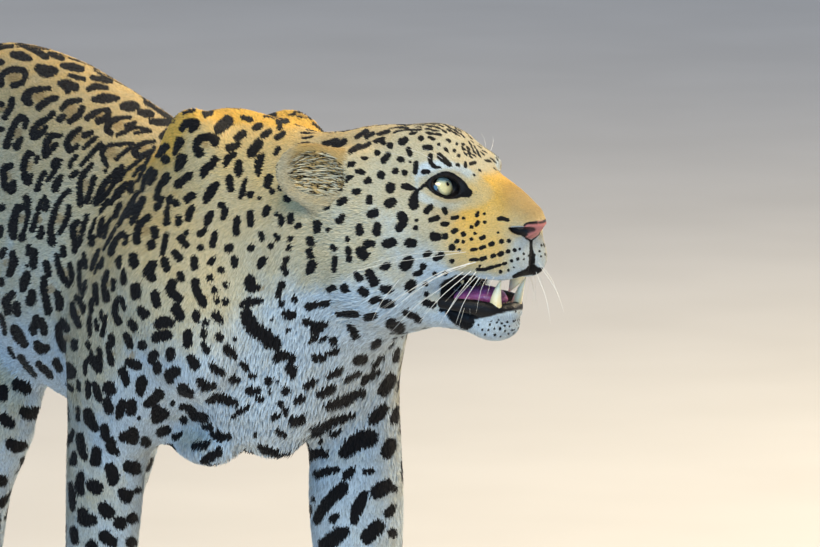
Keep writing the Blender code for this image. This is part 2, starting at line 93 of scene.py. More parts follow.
def turned(yaw=0.0, pitch=0.0, roll=0.0):
    """Axes (forward, left, up as columns) turned to the left, nose up and over to the right, in degrees."""
    y, p, r = (math.radians(angle) for angle in (yaw, pitch, roll))
    about_z = np.array([[math.cos(y), -math.sin(y), 0], [math.sin(y), math.cos(y), 0], [0, 0, 1]])
    about_y = np.array([[math.cos(p), 0, -math.sin(p)], [0, 1, 0], [math.sin(p), 0, math.cos(p)]])
    about_x = np.array([[1, 0, 0], [0, math.cos(r), -math.sin(r)], [0, math.sin(r), math.cos(r)]])
    return about_z @ about_y @ about_x


def swell(local, radii):
    """Rough signed distance to an ellipsoid from points in its own axes."""
    near = np.linalg.norm(local / radii, axis=-1)
    slope = np.linalg.norm(local / radii**2, axis=-1)
    shallow = near * (near - 1) / np.maximum(slope, 1e-9)
    return np.where(near < 1e-3, -np.min(radii, axis=-1), shallow)


def egg(centre, radii, axes=np.eye(3)):
    centre, radii = np.asarray(centre, float), np.asarray(radii, float)
    reach = np.sqrt(((axes * radii) ** 2).sum(1))
    return [(centre - reach, centre + reach, lambda points: swell((points - centre) @ axes, radii))]


def curved(values, steps):
    """A smooth curve through the values, with some steps between each two."""
    ends = np.concatenate([2 * values[:1] - values[1:2], values, 2 * values[-1:] - values[-2:-1]])
    found = []
    for before, start, end, after in zip(ends[:-3], ends[1:-2], ends[2:-1], ends[3:]):
        for t in np.arange(steps) / steps:
            bend = 2 * before - 5 * start + 4 * end - after
            twist = 3 * start - before - 3 * end + after
            found.append(start + 0.5 * t * ((end - before) + t * (bend + t * twist)))
    return np.array(found + [values[-1]])


def limb(stations, side=(0, 1, 0)):
    """A limb through stations (point, half width along side, half depth)."""
    points = curved(np.array([station[0] for station in stations], float), CURVE_STEPS)
    widths = curved(np.array([station[1:] for station in stations], float), CURVE_STEPS)
    side = unit(side)
    pieces = []
    for start, end, width, next_width in zip(points[:-1], points[1:], widths[:-1], widths[1:]):
        along = end - start
        axis = unit(along)
        across = unit(side - axis * (side @ axis))
        axes = np.stack([across, np.cross(axis, across), axis], 1)
        most = max(width.max(), next_width.max())

        def distance(places, start=start, along=along, width=width, next_width=next_width, axes=axes):
            t = np.clip(((places - start) @ along) / (along @ along), 0, 1)[..., None]
            radii = width + t * (next_width - width)
            radii = np.concatenate([radii, radii.min(-1, keepdims=True)], -1)
            return swell((places - start - t * along) @ axes, radii)

        pieces.append((np.minimum(start, end) - most, np.maximum(start, end) + most, distance))
    return pieces


def melt(first, second, soft):
    """The nearer of two distances, with a soft fillet between them."""
    overlap = np.maximum(soft - np.abs(first - second), 0) / soft
    return np.minimum(first, second) - overlap * overlap * soft / 4


def mass_distance(mass, points, margin=0.02):
    """Distance to one mass from scattered points, or a large number far away from it."""
    found = np.full(len(points), 1.0)
    for bottom, top, distance in mass:
        near = np.all((points > bottom - margin) & (points < top + margin), axis=1)
        if near.any():
            found[near] = np.minimum(found[near], distance(points[near]))
    return found


class Flesh:
    """Masses added to each other and cut from each other in order."""

    def __init__(self):
        self.steps = []

    def add(self, mass, soft):
        self.steps.append((1, mass, soft))

    def cut(self, mass, soft):
        self.steps.append((-1, mass, soft))

    def distance(self, points):
        found = np.full(len(points), 1.0)
        for sign, mass, soft in self.steps:
            mine = mass_distance(mass, points, soft + 0.02)
            found = sign * melt(sign * found, mine, soft)
        return found

    def grid(self, low, high, voxel):
        """Distances on a regular grid between two corners, and the grid's ticks."""
        low, high = np.asarray(low, float), np.asarray(high, float)
        count = np.ceil((high - low) / voxel).astype(int) + 1
        ticks = [low[i] + voxel * np.arange(count[i]) for i in range(3)]
        found = np.full(count, 1.0)
        for sign, mass, soft in self.steps:
            margin = soft + 3 * voxel + 0.01

            def window(bottom, top):
                first = [max(0, int(np.searchsorted(ticks[i], bottom[i] - margin))) for i in range(3)]
                last = [int(np.searchsorted(ticks[i], top[i] + margin)) for i in range(3)]
                return tuple(slice(a, max(a, b)) for a, b in zip(first, last))

            whole = window(np.min([p[0] for p in mass], 0), np.max([p[1] for p in mass], 0))
            mine = np.full(found[whole].shape, 1.0)
            for bottom, top, distance in mass:
                part = window(bottom, top)
                if any(cells.stop == cells.start for cells in part):
                    continue
                places = np.stack(np.meshgrid(*(ticks[i][part[i]] for i in range(3)), indexing="ij"), -1)
                inner = tuple(slice(a.start - b.start, a.stop - b.start) for a, b in zip(part, whole))
                mine[inner] = np.minimum(mine[inner], distance(places))
            found[whole] = sign * melt(sign * found[whole], mine, soft)
        return found, ticks


# The leopard's masses


def trunk(flesh):
    width, depth = CHEST_SECTION
    flesh.add(limb([
        ((-0.690, 0.012, 0.563), 0.060, 0.075),
        ((-0.620, 0.004, 0.572), 0.090, 0.103),
        ((-0.500, -0.010, 0.557), 0.108, 0.125),
        ((-0.390, -0.020, 0.533), 0.117, 0.142),
        ((-0.280, -0.024, 0.508), width, depth),
        ((-0.180, -0.022, 0.495), width - 0.004, depth - 0.007),
        ((-0.080, -0.012, 0.492), 0.110, 0.139),
        ((0.010, 0.004, 0.492), 0.098, 0.134),
        ((0.070, 0.016, 0.490), 0.075, 0.105),
    ]), 0.03)


def quarters(flesh):
    """Shoulder blades, shoulders and elbows, then breast, dewlap and thighs."""
    for side, ahead, drop in ((1, -0.024, 0.013), (-1, 0.014, 0.0)):
        blade = (ahead, side * 0.046, WITHERS - 0.075 - drop)
        flesh.add(egg(blade, (0.072, 0.032, 0.080), turned(pitch=-15, roll=side * -12)), 0.03)
        shoulder = (0.055 + ahead * 0.3, side * 0.080, 0.495)
        flesh.add(egg(shoulder, (0.070, 0.046, 0.085), turned(pitch=20)), 0.04)
        flesh.add(egg((-0.065, side * 0.090, 0.455), (0.070, 0.042, 0.080)), 0.04)
    flesh.add(egg((0.006, -0.012, 0.600), (0.080, 0.040, 0.070)), 0.03)
    flesh.add(egg((0.03, 0.01, 0.43), (0.085, 0.070, 0.070)), 0.03)
    for place, size in (((-0.012, -0.036, 0.356), 0.023), ((0.022, 0.018, 0.362), 0.018)):
        flesh.add(egg(place, (size * 2.2, size * 1.2, size)), 0.02)
    for side, ahead in ((1, -0.02), (-1, 0.03)):
        flesh.add(egg((-0.600 + ahead, side * 0.070, 0.520), (0.110, 0.052, 0.125), turned(pitch=-15)), 0.05)


def neck(flesh):
    flesh.add(limb([
        ((-0.020, 0.000, 0.566), 0.080, 0.092),
        ((0.060, 0.016, 0.557), 0.088, 0.105),
        ((0.120, 0.034, 0.556), 0.090, 0.109),
        ((0.180, 0.056, 0.575), 0.084, 0.098),
    ], side=(-0.3, 0.95, 0)), 0.05)


def forelegs(flesh):
    """The right foreleg trails, the left one reaches forward."""
    flesh.add(limb([
        ((0.020, -0.092, 0.520), 0.050, 0.075),
        ((-0.040, -0.102, 0.440), 0.045, 0.064),
        ((-0.090, -0.102, 0.365), 0.039, 0.052),
        ((-0.108, -0.100, 0.290), 0.037, 0.046),
        ((-0.124, -0.098, 0.210), 0.034, 0.039),
        ((-0.138, -0.096, 0.125), WRIST, WRIST + 0.002),
        ((-0.130, -0.096, 0.075), WRIST + 0.001, WRIST - 0.001),
    ]), 0.045)
    flesh.add(limb([
        ((0.046, 0.092, 0.520), 0.045, 0.070),
        ((0.018, 0.100, 0.440), 0.046, 0.068),
        ((0.014, 0.108, 0.365), 0.044, 0.052),
        ((0.014, 0.109, 0.290), 0.046, 0.051),
        ((0.025, 0.107, 0.210), 0.040, 0.044),
        ((0.042, 0.104, 0.125), WRIST + 0.001, WRIST + 0.003),
        ((0.054, 0.104, 0.075), WRIST + 0.003, WRIST + 0.001),
    ]), 0.045)


def hindlegs(flesh):
    """The right hind leg reaches forward, the left one stands nearly under the hips."""
    flesh.add(limb([
        ((-0.580, -0.070, 0.520), 0.050, 0.105),
        ((-0.480, -0.086, 0.430), 0.050, 0.085),
        ((-0.402, -0.092, 0.352), 0.042, 0.058),
        ((-0.443, -0.092, 0.270), 0.032, 0.044),
        ((-0.466, -0.090, 0.195), CANNON, HOCK + 0.002),
        ((-0.481, -0.090, 0.150), CANNON - 0.003, HOCK - 0.002),
        ((-0.463, -0.090, 0.100), CANNON - 0.002, CANNON - 0.002),
        ((-0.437, -0.090, 0.060), CANNON + 0.001, CANNON - 0.002),
    ]), 0.05)
    flesh.add(limb([
        ((-0.610, 0.070, 0.520), 0.050, 0.105),
        ((-0.555, 0.080, 0.430), 0.048, 0.085),
        ((-0.490, 0.084, 0.350), 0.038, 0.058),
        ((-0.514, 0.084, 0.270), 0.033, 0.048),
        ((-0.557, 0.083, 0.200), CANNON, HOCK + 0.002),
        ((-0.582, 0.082, 0.158), CANNON - 0.003, HOCK - 0.002),
        ((-0.570, 0.082, 0.105), CANNON - 0.002, CANNON - 0.002),
        ((-0.546, 0.082, 0.060), CANNON + 0.001, CANNON - 0.002),
    ]), 0.05)


def toes(x, y, heading):
    """The middle of each toe of a paw, and its axes."""
    axes = turned(yaw=heading)
    length, width, height = PAW
    for spread in (-0.83, -0.29, 0.29, 0.83):
        reach = length * (0.92 if abs(spread) < 0.5 else 0.68)
        place = np.array([x, y, 0]) + axes @ np.array([reach, spread * width, height * 0.68])
        yield place, turned(yaw=heading + spread * 11)


def paw(flesh, x, y, heading):
    """A paw's pad with four toes fanned in front of it."""
    length, width, height = PAW
    flesh.add(egg(np.array([x, y, height]), PAW, turned(yaw=heading)), 0.02)
    for place, toe in toes(x, y, heading):
        flesh.add(egg(place, (length * 0.48, width * 0.35, height * 0.66), toe), 0.008)


def paws(flesh):
    for place in PAW_PLACES:
        paw(flesh, *place)


def tail(flesh):
    """The tail hangs from the hips and curls up at its end."""
    root, tip = TAIL_THICKNESS
    stations = []
    for number, place in enumerate(TAIL_ROUTE):
        t = number / (len(TAIL_ROUTE) - 1)
        thickness = tip + (root - tip) * (0.6 * (1 - t) ** 4 + 0.4 * math.sqrt(1 - t))
        stations.append((place, thickness, thickness * 1.03))
    flesh.add(limb(stations), 0.03)


# The head has its own frame: millimetres forward, left and up from midway between the eyes

HEAD = turned(HEAD_YAW, HEAD_PITCH)


def in_head(x, y, z):
    return HEAD_PLACE + HEAD @ (np.array([x, y, z], float) * MM)


def to_head(points):
    """Head frame coordinates, in millimetres, of points of the working frame."""
    return (points - HEAD_PLACE) @ HEAD / MM


def head_egg(x, y, z, length, width, height, yaw=0, pitch=0):
    return egg(in_head(x, y, z), np.array([length, width, height]) * MM, HEAD @ turned(yaw, pitch))


def head_limb(*stations):
    """Stations are x, y, z, half width and half depth."""
    placed = [(in_head(x, y, z), width * MM, depth * MM) for x, y, z, width, depth in stations]
    return limb(placed, side=HEAD @ unit((0, 1, 0)))


def skull(flesh):
    flesh.add(head_egg(-66, 0, -6, 72, 62, 63), 0.03)
    flesh.add(head_egg(-30, 0, 2, 42, 46, 50), 0.025)
    for side in (1, -1):
        flesh.add(head_egg(-6, side * 31, 14, 22, 16, 12, yaw=side * -25), 0.014)  # brow
        flesh.add(head_egg(-30, side * 40, -34, 36, 30, 30, yaw=side * 12), 0.02)  # cheekbone
        flesh.add(head_egg(-74, side * 46, -66, 50, 38, 56), 0.03)  # ruff over the jaw muscle
    flesh.add(head_egg(-70, 0, -84, 62, 46, 42), 0.03)  # throat


def muzzle(flesh):
    bridge = ((-14, 0, 0, 27, 26), (12, 0, -4, 25, 21), (44, 0, -20, 23, 17), (65, 0, -34, 20, 14))
    flesh.add(head_limb(*bridge), 0.018)
    flesh.add(head_egg(22, 0, -54, 44, 36, 33), 0.018)
    for side in (1, -1):
        flesh.add(head_egg(37, side * 13, -42, 28, 19, 20, pitch=-25), 0.015)  # flank of the nose
        flesh.add(head_egg(0, side * 31, -60, 34, 22, 28), 0.02)  # cheek behind the whiskers
        flesh.add(head_egg(37, side * 18, -70, 30, 22, 21, yaw=side * -6), 0.012)  # whisker pad
        flesh.add(head_egg(46, side * 13, -78, 20, 15, 13), 0.010)  # lip below it
    flesh.add(head_egg(53, 0, -69, 13, 15, 18), 0.008)
    flesh.add(head_egg(71, 0, -41.5, 12, 17, 9.5, pitch=-8), 0.006)  # nose


GAPE = ((80, 0, -104, 45, 12.5), (45, 0, -103, 44, 12.5), (18, 0, -99.5, 46, 14.5), (-6, 0, -105, 46, 7))


def jaw(flesh):
    flesh.add(head_egg(17, 0, -130, 22, 24, 16, pitch=-16), 0.01)
    flesh.add(head_limb((14, 0, -127, 23, 15), (-14, 0, -118, 34, 18), (-45, 0, -104, 42, 26)), 0.012)


LIP_RIDGE = (
    (-12, 40, -107, 5, 6), (5, 35, -110, 6, 7), (20, 27, -114, 6, 8), (31, 15, -119, 7, 8),
    (35, 0, -121, 7, 8),
)


def lower_lip(flesh):
    """A soft black rim round the lower teeth."""
    for side in (1, -1):
        stations = [(x, side * y, z, width, depth) for x, y, z, width, depth in LIP_RIDGE]
        flesh.add(head_limb(*stations), 0.006)


def ear_axes(side):
    """The ear's middle, and the ways out of its opening, across it and up it."""
    root, tip = (in_head(x, side * y, z) for x, y, z in (EAR_ROOT, EAR_TIP))
    up = unit(tip - root)
    opening = HEAD @ unit((0.5, side * 0.85, -0.1))
    out = unit(opening - up * (opening @ up))
    return root, tip, np.stack([out, np.cross(up, out), up], 1)


def ear_hollow(middle, axes):
    return egg(middle + axes[:, 0] * HOLLOW_OUT, EAR_HOLLOW, axes)


def ear(flesh, side):
    """A round shell on a broad base, laid back and opening outwards."""
    root, tip, axes = ear_axes(side)
    out = axes[:, 0]
    middle = (root + tip) / 2
    flesh.add(egg(root + (tip - root) * 0.1 - out * 0.004, (0.022, 0.034, 0.030), axes), 0.02)
    flesh.add(egg(middle, (0.012, 0.032, 0.038), axes), 0.012)
    flesh.cut(ear_hollow(middle, axes), 0.003)


def eye_axes(side):
    """Along the slit, up across it, and out along the gaze."""
    gaze = HEAD @ turned(yaw=side * EYE_OUTWARD, pitch=5)[:, 0]
    slit = HEAD @ unit((-0.52, side * 0.79, 0.37))
    slit = unit(slit - gaze * (slit @ gaze))
    return np.stack([slit, np.cross(gaze, slit) * side, gaze], 1)


def eye_centre(side):
    x, y, z = EYE_PLACE
    return in_head(x, side * y, z)


def lids(flesh, side):
    """A thin ball over the eyeball, opened along the slit."""
    axes, centre = eye_axes(side), eye_centre(side)
    flesh.add(egg(centre, (LID_BALL, LID_BALL, LID_BALL)), 0.006)
    inner = centre - axes[:, 0] * 0.0165 + axes[:, 2] * 0.0085
    flesh.add(egg(inner, INNER_CORNER, axes), 0.006)
    front = centre + axes[:, 2] * 0.0150
    flesh.cut(egg(front, LID_SLIT, axes), 0.0020)
    flesh.cut(egg(inner + axes[:, 2] * 0.005, TEAR_SLIT, axes), 0.002)


def nostril(side):
    return head_limb(
        (78, side * 8.5, -47.5, 2.8, 3.0), (72, side * 13, -46, 3.4, 3.3),
        (65, side * 18, -44.5, 2.6, 2.2), (58, side * 21.5, -42, 1.2, 1.2),
    )


def nose_openings(flesh):
    """Nostrils that run back as slits, and the groove down to the lip."""
    for side in (1, -1):
        flesh.cut(nostril(side), 0.0025)
    flesh.cut(head_limb((80, 0, -54, 1.0, 1.6), (72, 0, -63, 1.0, 1.6), (66, 0, -84, 1.2, 1.8)), 0.003)


def whole_head(flesh):
    for make in (skull, muzzle, jaw):
        make(flesh)


def leopard():
    flesh = Flesh()
    for make in (trunk, quarters, neck, forelegs, hindlegs, paws, tail, whole_head):
        make(flesh)
    flesh.cut(head_limb(*GAPE), 0.006)
    lower_lip(flesh)
    for side in (1, -1):
        ear(flesh, side)
        lids(flesh, side)
    nose_openings(flesh)
    return flesh


# The skin: the surface under the coat, meshed finer towards the face, as one closed mesh

NECK_PLANE = (in_head(-150, 0, 0), HEAD @ unit((1, 0, 0.25)))
FACE_PLANE = (in_head(-46, 0, 0), HEAD @ unit((1, 0, 0)))
RIM_GAP = 0.0008
BODY_BOX = ((-1.26, -0.20, -0.02), (0.30, 0.24, 0.74))
NAPE_BOX, FACE_BOX = ((-95, 0, -30), 0.18), ((15, 0, -45), 0.135)  # a middle in the head's frame, and a reach
# how deep the coat is on the body, what legs and paws have less, and what the back of the head has more
BODY_DEPTH, LEG_THINNER, PAW_THINNER = 0.0042, 0.0012, 0.0016
FACE_DEPTH, CROWN_THICKER = 0.0008, 0.0012


def step(values, start, end):
    t = np.clip((values - start) / (end - start), 0, 1)
    return t * t * (3 - 2 * t)


def coat_depth(points):
    """How far the skin lies inside the tips of the coat."""
    flat = points.reshape(-1, 3)
    head = to_head(flat)
    leg, foot = step(flat[:, 2], 0.42, 0.30), step(flat[:, 2], 0.12, 0.06)
    body = BODY_DEPTH - LEG_THINNER * leg - PAW_THINNER * foot
    face = FACE_DEPTH + CROWN_THICKER * step(head[:, 0], -30, -90)
    beyond = (flat - NECK_PLANE[0]) @ NECK_PLANE[1]
    return (body + (face - body) * step(beyond, -0.03, 0.05)).reshape(points.shape[:-1])


def contour(name, values, voxel, low):
    """The mesh on which a grid of distances is zero."""
    grid = openvdb.FloatGrid(1.0)
    grid.copyFromArray(values.astype(np.float32))
    points, quads = grid.convertToQuads(0.0)
    mesh = bpy.data.meshes.new(name)
    mesh.from_pydata((points * voxel + np.asarray(low)).tolist(), [], quads.tolist())
    return mesh


def head_box(place, reach):
    """The low and high corners of a cube about a place of the head."""
    middle = in_head(*place)
    return middle - reach, middle + reach


def zone(flesh, low, high, voxel, ahead_of=None, behind=None):
    """The skin between two planes, open at both."""
    values, ticks = flesh.grid(low, high, voxel)
    places = np.stack(np.meshgrid(*ticks, indexing="ij"), -1)
    values = np.maximum(values + coat_depth(places), SINK + 0.0003 - places[..., 2])
    mesh = contour("Zone", values, voxel, low)
    form = bmesh.new()
    form.from_mesh(mesh)
    bpy.data.meshes.remove(mesh)
    for plane, sign in ((ahead_of, 1), (behind, -1)):
        if plane:
            everything = form.verts[:] + form.edges[:] + form.faces[:]
            place = Vector(plane[0] + sign * plane[1] * RIM_GAP)
            bmesh.ops.bisect_plane(
                form, geom=everything, dist=1e-7, plane_co=place,
                plane_no=Vector(plane[1]), clear_inner=sign > 0, clear_outer=sign < 0,
            )
    return form


def rim(form, plane):
    """The open edge's corners beside a plane, in order round it."""
    place, normal = plane
    across = unit(np.cross(normal, (0, 0, 1)))
    up = np.cross(across, normal)
    found = []
    for corner in form.verts:
        if abs((np.array(corner.co) - place) @ normal) < 2 * RIM_GAP and corner.is_boundary:
            found.append(corner)
    spread = np.array([np.array(corner.co) - place for corner in found])
    flat = np.stack([spread @ across, spread @ up], 1)
    centre = (flat.max(0) + flat.min(0)) / 2
    angles = np.arctan2(*(flat - centre).T[::-1])
    return [(angles[i], found[i]) for i in np.argsort(angles)]


def stitch(form, plane):
    """Joins the two rims beside a plane with a strip of triangles."""
    place, normal = plane
    both = rim(form, plane)
    sides = [[], []]
    for angle, corner in both:
        ahead = (np.array(corner.co) - place) @ normal > 0
        sides[int(ahead)].append((angle, corner))
    first, second = ([*side, (side[0][0] + 2 * math.pi, side[0][1])] for side in sides)
    i = j = 0
    while i < len(first) - 1 or j < len(second) - 1:
        step_first = j == len(second) - 1 or (i < len(first) - 1 and first[i + 1][0] < second[j + 1][0])
        if step_first:
            corners = (first[i][1], first[i + 1][1], second[j][1])
            i += 1
        else:
            corners = (first[i][1], second[j + 1][1], second[j][1])
            j += 1
        if len(set(corners)) == 3:
            form.faces.new(corners)


def skin_form():
    flesh = leopard()
    body = zone(flesh, *BODY_BOX, BODY_VOXEL, behind=NECK_PLANE)
    nape = zone(flesh, *head_box(*NAPE_BOX), NAPE_VOXEL, ahead_of=NECK_PLANE, behind=FACE_PLANE)
    face = zone(flesh, *head_box(*FACE_BOX), FACE_VOXEL, ahead_of=FACE_PLANE)
    for part in (nape, face):
        mesh = bpy.data.meshes.new("Part")
        part.to_mesh(mesh)
        part.free()
        body.from_mesh(mesh)
        bpy.data.meshes.remove(mesh)
    stitch(body, NECK_PLANE)
    stitch(body, FACE_PLANE)
    bmesh.ops.recalc_face_normals(body, faces=body.faces)
    return body


# What the coat is like in places: (forward, out from the middle line, up) in metres; then in millimetres the
# spacing of the marks, their length and width; the share of rosettes, the warmth of the ground colour, the
# length of the tufts in millimetres, the lie of the coat, and the way that the marks are drawn out

PAW_SITE = (14, 8, 7, 0.00, 0.24, 7, (1, 0, -0.5), (1, 0, 0))
BODY_SITES = (
    # over the withers the warmth runs past gold: golden fur with painted warm sunlight on it
    ((0.000, 0.03, 0.665), 31, 24, 20, 0.75, 1.35, 9, (-1, 0, -0.1), (-1, 0, -0.3)),
    ((-0.180, 0.02, 0.650), 36, 29, 24, 1.00, 0.36, 9, (-1, 0, 0), (-1, 0, 0)),
    ((-0.400, 0.00, 0.670), 38, 34, 29, 1.00, 0.40, 9, (-1, 0, 0), (-1, 0, 0)),
    ((-0.620, 0.03, 0.660), 38, 33, 29, 1.00, 0.46, 9, (-1, 0, -0.4), (-1, 0, -0.4)),
    ((-0.180, 0.12, 0.520), 37, 32, 30, 1.00, 0.20, 10, (-1, 0, -0.3), (-0.5, 0, -1)),
    ((-0.400, 0.13, 0.540), 38, 35, 31, 1.00, 0.22, 10, (-1, 0, -0.3), (-1, 0, -0.5)),
    ((-0.300, 0.11, 0.420), 36, 27, 20, 0.55, 0.25, 12, (-1, 0, -0.3), (-1, 0, 0)),
    ((-0.300, 0.00, 0.360), 38, 28, 18, 0.00, 0.00, 15, (-1, 0, -0.2), (0, 1, 0)),
    ((-0.600, 0.12, 0.520), 35, 30, 26, 0.85, 0.30, 9, (-0.5, 0, -1), (-0.5, 0, -1)),
    ((-0.470, 0.13, 0.430), 32, 24, 19, 0.25, 0.38, 9, (-0.3, 0, -1), (-0.3, 0, -1)),
    ((-0.010, 0.11, 0.560), 25, 21, 15, 0.20, 0.42, 9, (-0.6, 0, -1), (-0.1, 0, -1)),
    ((0.050, 0.13, 0.480), 24, 20, 14, 0.00, 0.26, 9, (-0.3, 0, -1), (0, 0, -1)),
    ((-0.080, 0.13, 0.450), 26, 20, 16, 0.15, 0.26, 9, (-0.4, 0, -1), (-0.3, 0, -1)),
    ((0.080, 0.06, 0.645), 22, 15, 10, 0.00, 0.44, 8, (-1, 0, -0.4), (-1, 0, -0.6)),
    ((0.120, 0.12, 0.560), 22, 18, 10, 0.00, 0.30, 8, (-0.5, 0, -1), (0.1, 0, -1)),
    ((0.130, 0.04, 0.440), 27, 28, 13, 0.00, 0.05, 15, (-0.5, 0, -1), (0.1, 1, -0.35)),
    ((0.095, 0.03, 0.380), 29, 30, 14, 0.00, 0.00, 16, (-0.4, 0, -1), (0, 1, -0.2)),
    ((-0.100, 0.13, 0.340), 26, 23, 16, 0.00, 0.20, 9, (0, 0, -1), (0.4, 0.6, -0.5)),
    ((-0.120, 0.13, 0.200), 24, 19, 13, 0.00, 0.18, 8, (0, 0, -1), (0.8, 0.5, -0.3)),
    ((0.060, 0.13, 0.300), 30, 27, 17, 0.00, 0.06, 9, (0, 0, -1), (0.4, 0.8, 0.3)),
    ((0.050, 0.13, 0.180), 26, 22, 14, 0.00, 0.08, 8, (0, 0, -1), (0.6, 0.6, 0.2)),
    ((-0.100, 0.05, 0.280), 34, 20, 14, 0.00, 0.00, 8, (0, 0, -1), (1, 0, 0)),
    ((-0.430, 0.14, 0.300), 27, 21, 16, 0.00, 0.26, 9, (-0.3, 0, -1), (0.5, 0, -1)),
    ((-0.540, 0.12, 0.180), 24, 18, 13, 0.00, 0.24, 8, (-0.2, 0, -1), (1, 0, 0)),
    ((-0.500, 0.04, 0.280), 34, 20, 14, 0.00, 0.00, 8, (0, 0, -1), (1, 0, 0)),
    *(((x, y, 0.050), *PAW_SITE) for x, y in ((-0.130, 0.10), (0.080, 0.10), (-0.430, 0.09), (-0.570, 0.08))),
    ((-0.780, 0.03, 0.550), 34, 27, 21, 0.40, 0.70, 8, (-0.7, 0, -0.7), (0, 1, 0)),
    ((-0.890, 0.03, 0.350), 34, 26, 20, 0.10, 0.60, 9, (-0.2, 0, -1), (0, 1, 0)),
    ((-0.980, 0.03, 0.180), 34, 27, 21, 0.00, 0.40, 10, (-0.7, 0, -0.6), (0, 1, 0)),
    ((-1.100, 0.03, 0.145), 36, 36, 22, 0.00, 0.15, 12, (-1, 0, 0.1), (0, 1, 0)),
    ((-1.200, 0.02, 0.210), 34, 44, 24, 0.00, 0.10, 14, (-0.5, 0, 1), (0, 1, 0)),
)
# On the head the places are in its own frame, in millimetres, no mark is a rosette, and the coat lies away
# from the nose, so a row goes from the marks' width to the warmth, and from the tufts' length to the way
# that the marks are drawn out
HEAD_SITES = (
    ((74, 0, -26), 30, 0, 0, 0.52, 2.6, (-1, 0, 0)),
    ((38, 10, -15), 30, 0, 0, 0.86, 3.4, (-1, 0, 0)),
    ((10, 5, 22), 5.6, 5.2, 3.3, 0.20, 3.6, (-1, 0, 0)),
    ((-25, 10, 52), 6.8, 8.0, 4.2, 0.22, 4.8, (-1, 0, 0)),
    ((-70, 0, 60), 9.0, 12.0, 5.4, 0.34, 6.0, (-1, 0, 0)),
    ((-120, 0, 62), 11.5, 14, 6.5, 0.42, 7.5, (-1, 0, 0)),
    ((-5, 34, 22), 7.4, 5.0, 3.5, 0.18, 4.4, (-1, 0, 0)),
    ((-30, 55, 20), 11, 7.0, 5.5, 0.24, 5.4, (-1, 0, 0)),
    ((-5, 52, -22), 12, 6.0, 5.0, 0.24, 4.8, (-1, 0, 0)),
    ((28, 30, -32), 30, 0, 0, 0.80, 3.6, (-1, 0, 0)),
    ((42, 34, -56), 30, 0, 0, 0.78, 3.6, (-1, 0, 0)),
    ((40, 34, -76), 30, 0, 0, 0.58, 3.8, (-1, 0, 0)),
    ((66, 10, -70), 30, 0, 0, 0.02, 2.8, (-1, 0, 0)),
    ((4, 45, -16), 12, 4.0, 3.0, 0.40, 4.0, (-1, 0, 0)),
    ((-35, 68, -35), 14.5, 8.5, 7.5, 0.18, 6.5, (-0.8, 0, -0.4)),
    ((-15, 48, -70), 14, 8.0, 6.5, 0.16, 6.0, (-1, 0, -0.3)),
    ((-75, 80, -40), 17, 12, 8.0, 0.26, 9.0, (-0.8, 0, -0.6)),
    ((-60, 65, -105), 20, 15, 9.5, 0.08, 11, (-1, 0, -0.2)),
    ((-120, 70, -60), 19, 16, 10, 0.36, 9.5, (-0.6, 0, -1)),
    ((-120, 60, -120), 22, 20, 11, 0.06, 13, (-1, 0.4, 0)),
    ((-30, 0, -135), 24, 14, 7, 0.00, 8, (0, 1, 0)),
    ((-90, 0, -130), 26, 22, 10, 0.00, 12, (0, 1, 0)),
    ((25, 5, -140), 7, 2.2, 1.8, 0.00, 4.0, (-1, 0, 0)),
    ((10, 28, -125), 9, 2.4, 2.0, 0.00, 4.0, (-1, 0, 0)),
    ((-130, 85, 30), 13, 5.0, 4.0, 0.50, 6.0, (-1, 0, 0)),
)


NOSE_TIP = (78.0, 0.0, -38.0)
SITE_NUMBERS = 12  # six and two directions


def site_mix(points, sites, softness):
    """Each site's numbers, mixed by how near the points are to its place."""
    around = points.copy()
    around[:, 1] = np.abs(around[:, 1])
    total = np.zeros(len(points))
    numbers = np.zeros((len(points), SITE_NUMBERS))
    for place, *rest in sites:
        near = 1 / (((around - np.array(place)) ** 2).sum(1) + softness**2) ** 2.5
        row = np.concatenate([np.atleast_1d(value) for value in rest]).astype(float)
        total += near
        numbers += near[:, None] * row
    return numbers / total[:, None]


def coat_character(points, normals):
    """Spacing, length, width, rosettes, warmth, tuft length, then the lie and the drawing-out."""
    body = site_mix(points - (0, 0.01, 0), BODY_SITES, 0.02)
    head_points = to_head(points)
    rows = [(*row[:4], 0, *row[4:6], (0, 0, 0), row[6]) for row in HEAD_SITES]
    head = site_mix(head_points, rows, 8.0)
    nose = unit(head_points - np.array(NOSE_TIP))
    head[:, 6:9] = nose @ HEAD.T
    side = np.sign(head_points[:, 1:2])
    drawn = head[:, 9:12] * np.concatenate([np.ones_like(side), side, np.ones_like(side)], 1)
    head[:, 9:12] = drawn @ HEAD.T
    body[:, 10] *= np.sign(points[:, 1])
    ahead = (points - NECK_PLANE[0]) @ NECK_PLANE[1]
    share = step(ahead, -0.05, 0.03)[:, None]
    found = body + (head - body) * share
    for first in (6, 9):
        flat = found[:, first:first + 3]
        flat = flat - normals * (flat * normals).sum(1, keepdims=True)
        found[:, first:first + 3] = unit(flat)
    # warmer on top, paler on the undersides and on the insides of the legs, where the pale ground is white
    # fur tinted with painted blue shade
    inward = -np.sign(points[:, 1] + 0.004) * normals[:, 1] * step(points[:, 2], 0.44, 0.36)
    found[:, 4] += (0.24 - 0.12 * share[:, 0]) * normals[:, 2] - 0.55 * np.maximum(inward, 0)
    found[:, 4] -= 0.5 * step(normals[:, 2], -0.2, -0.8)
    return found


CELL_ROWS = 4001  # more than there are cells along any side


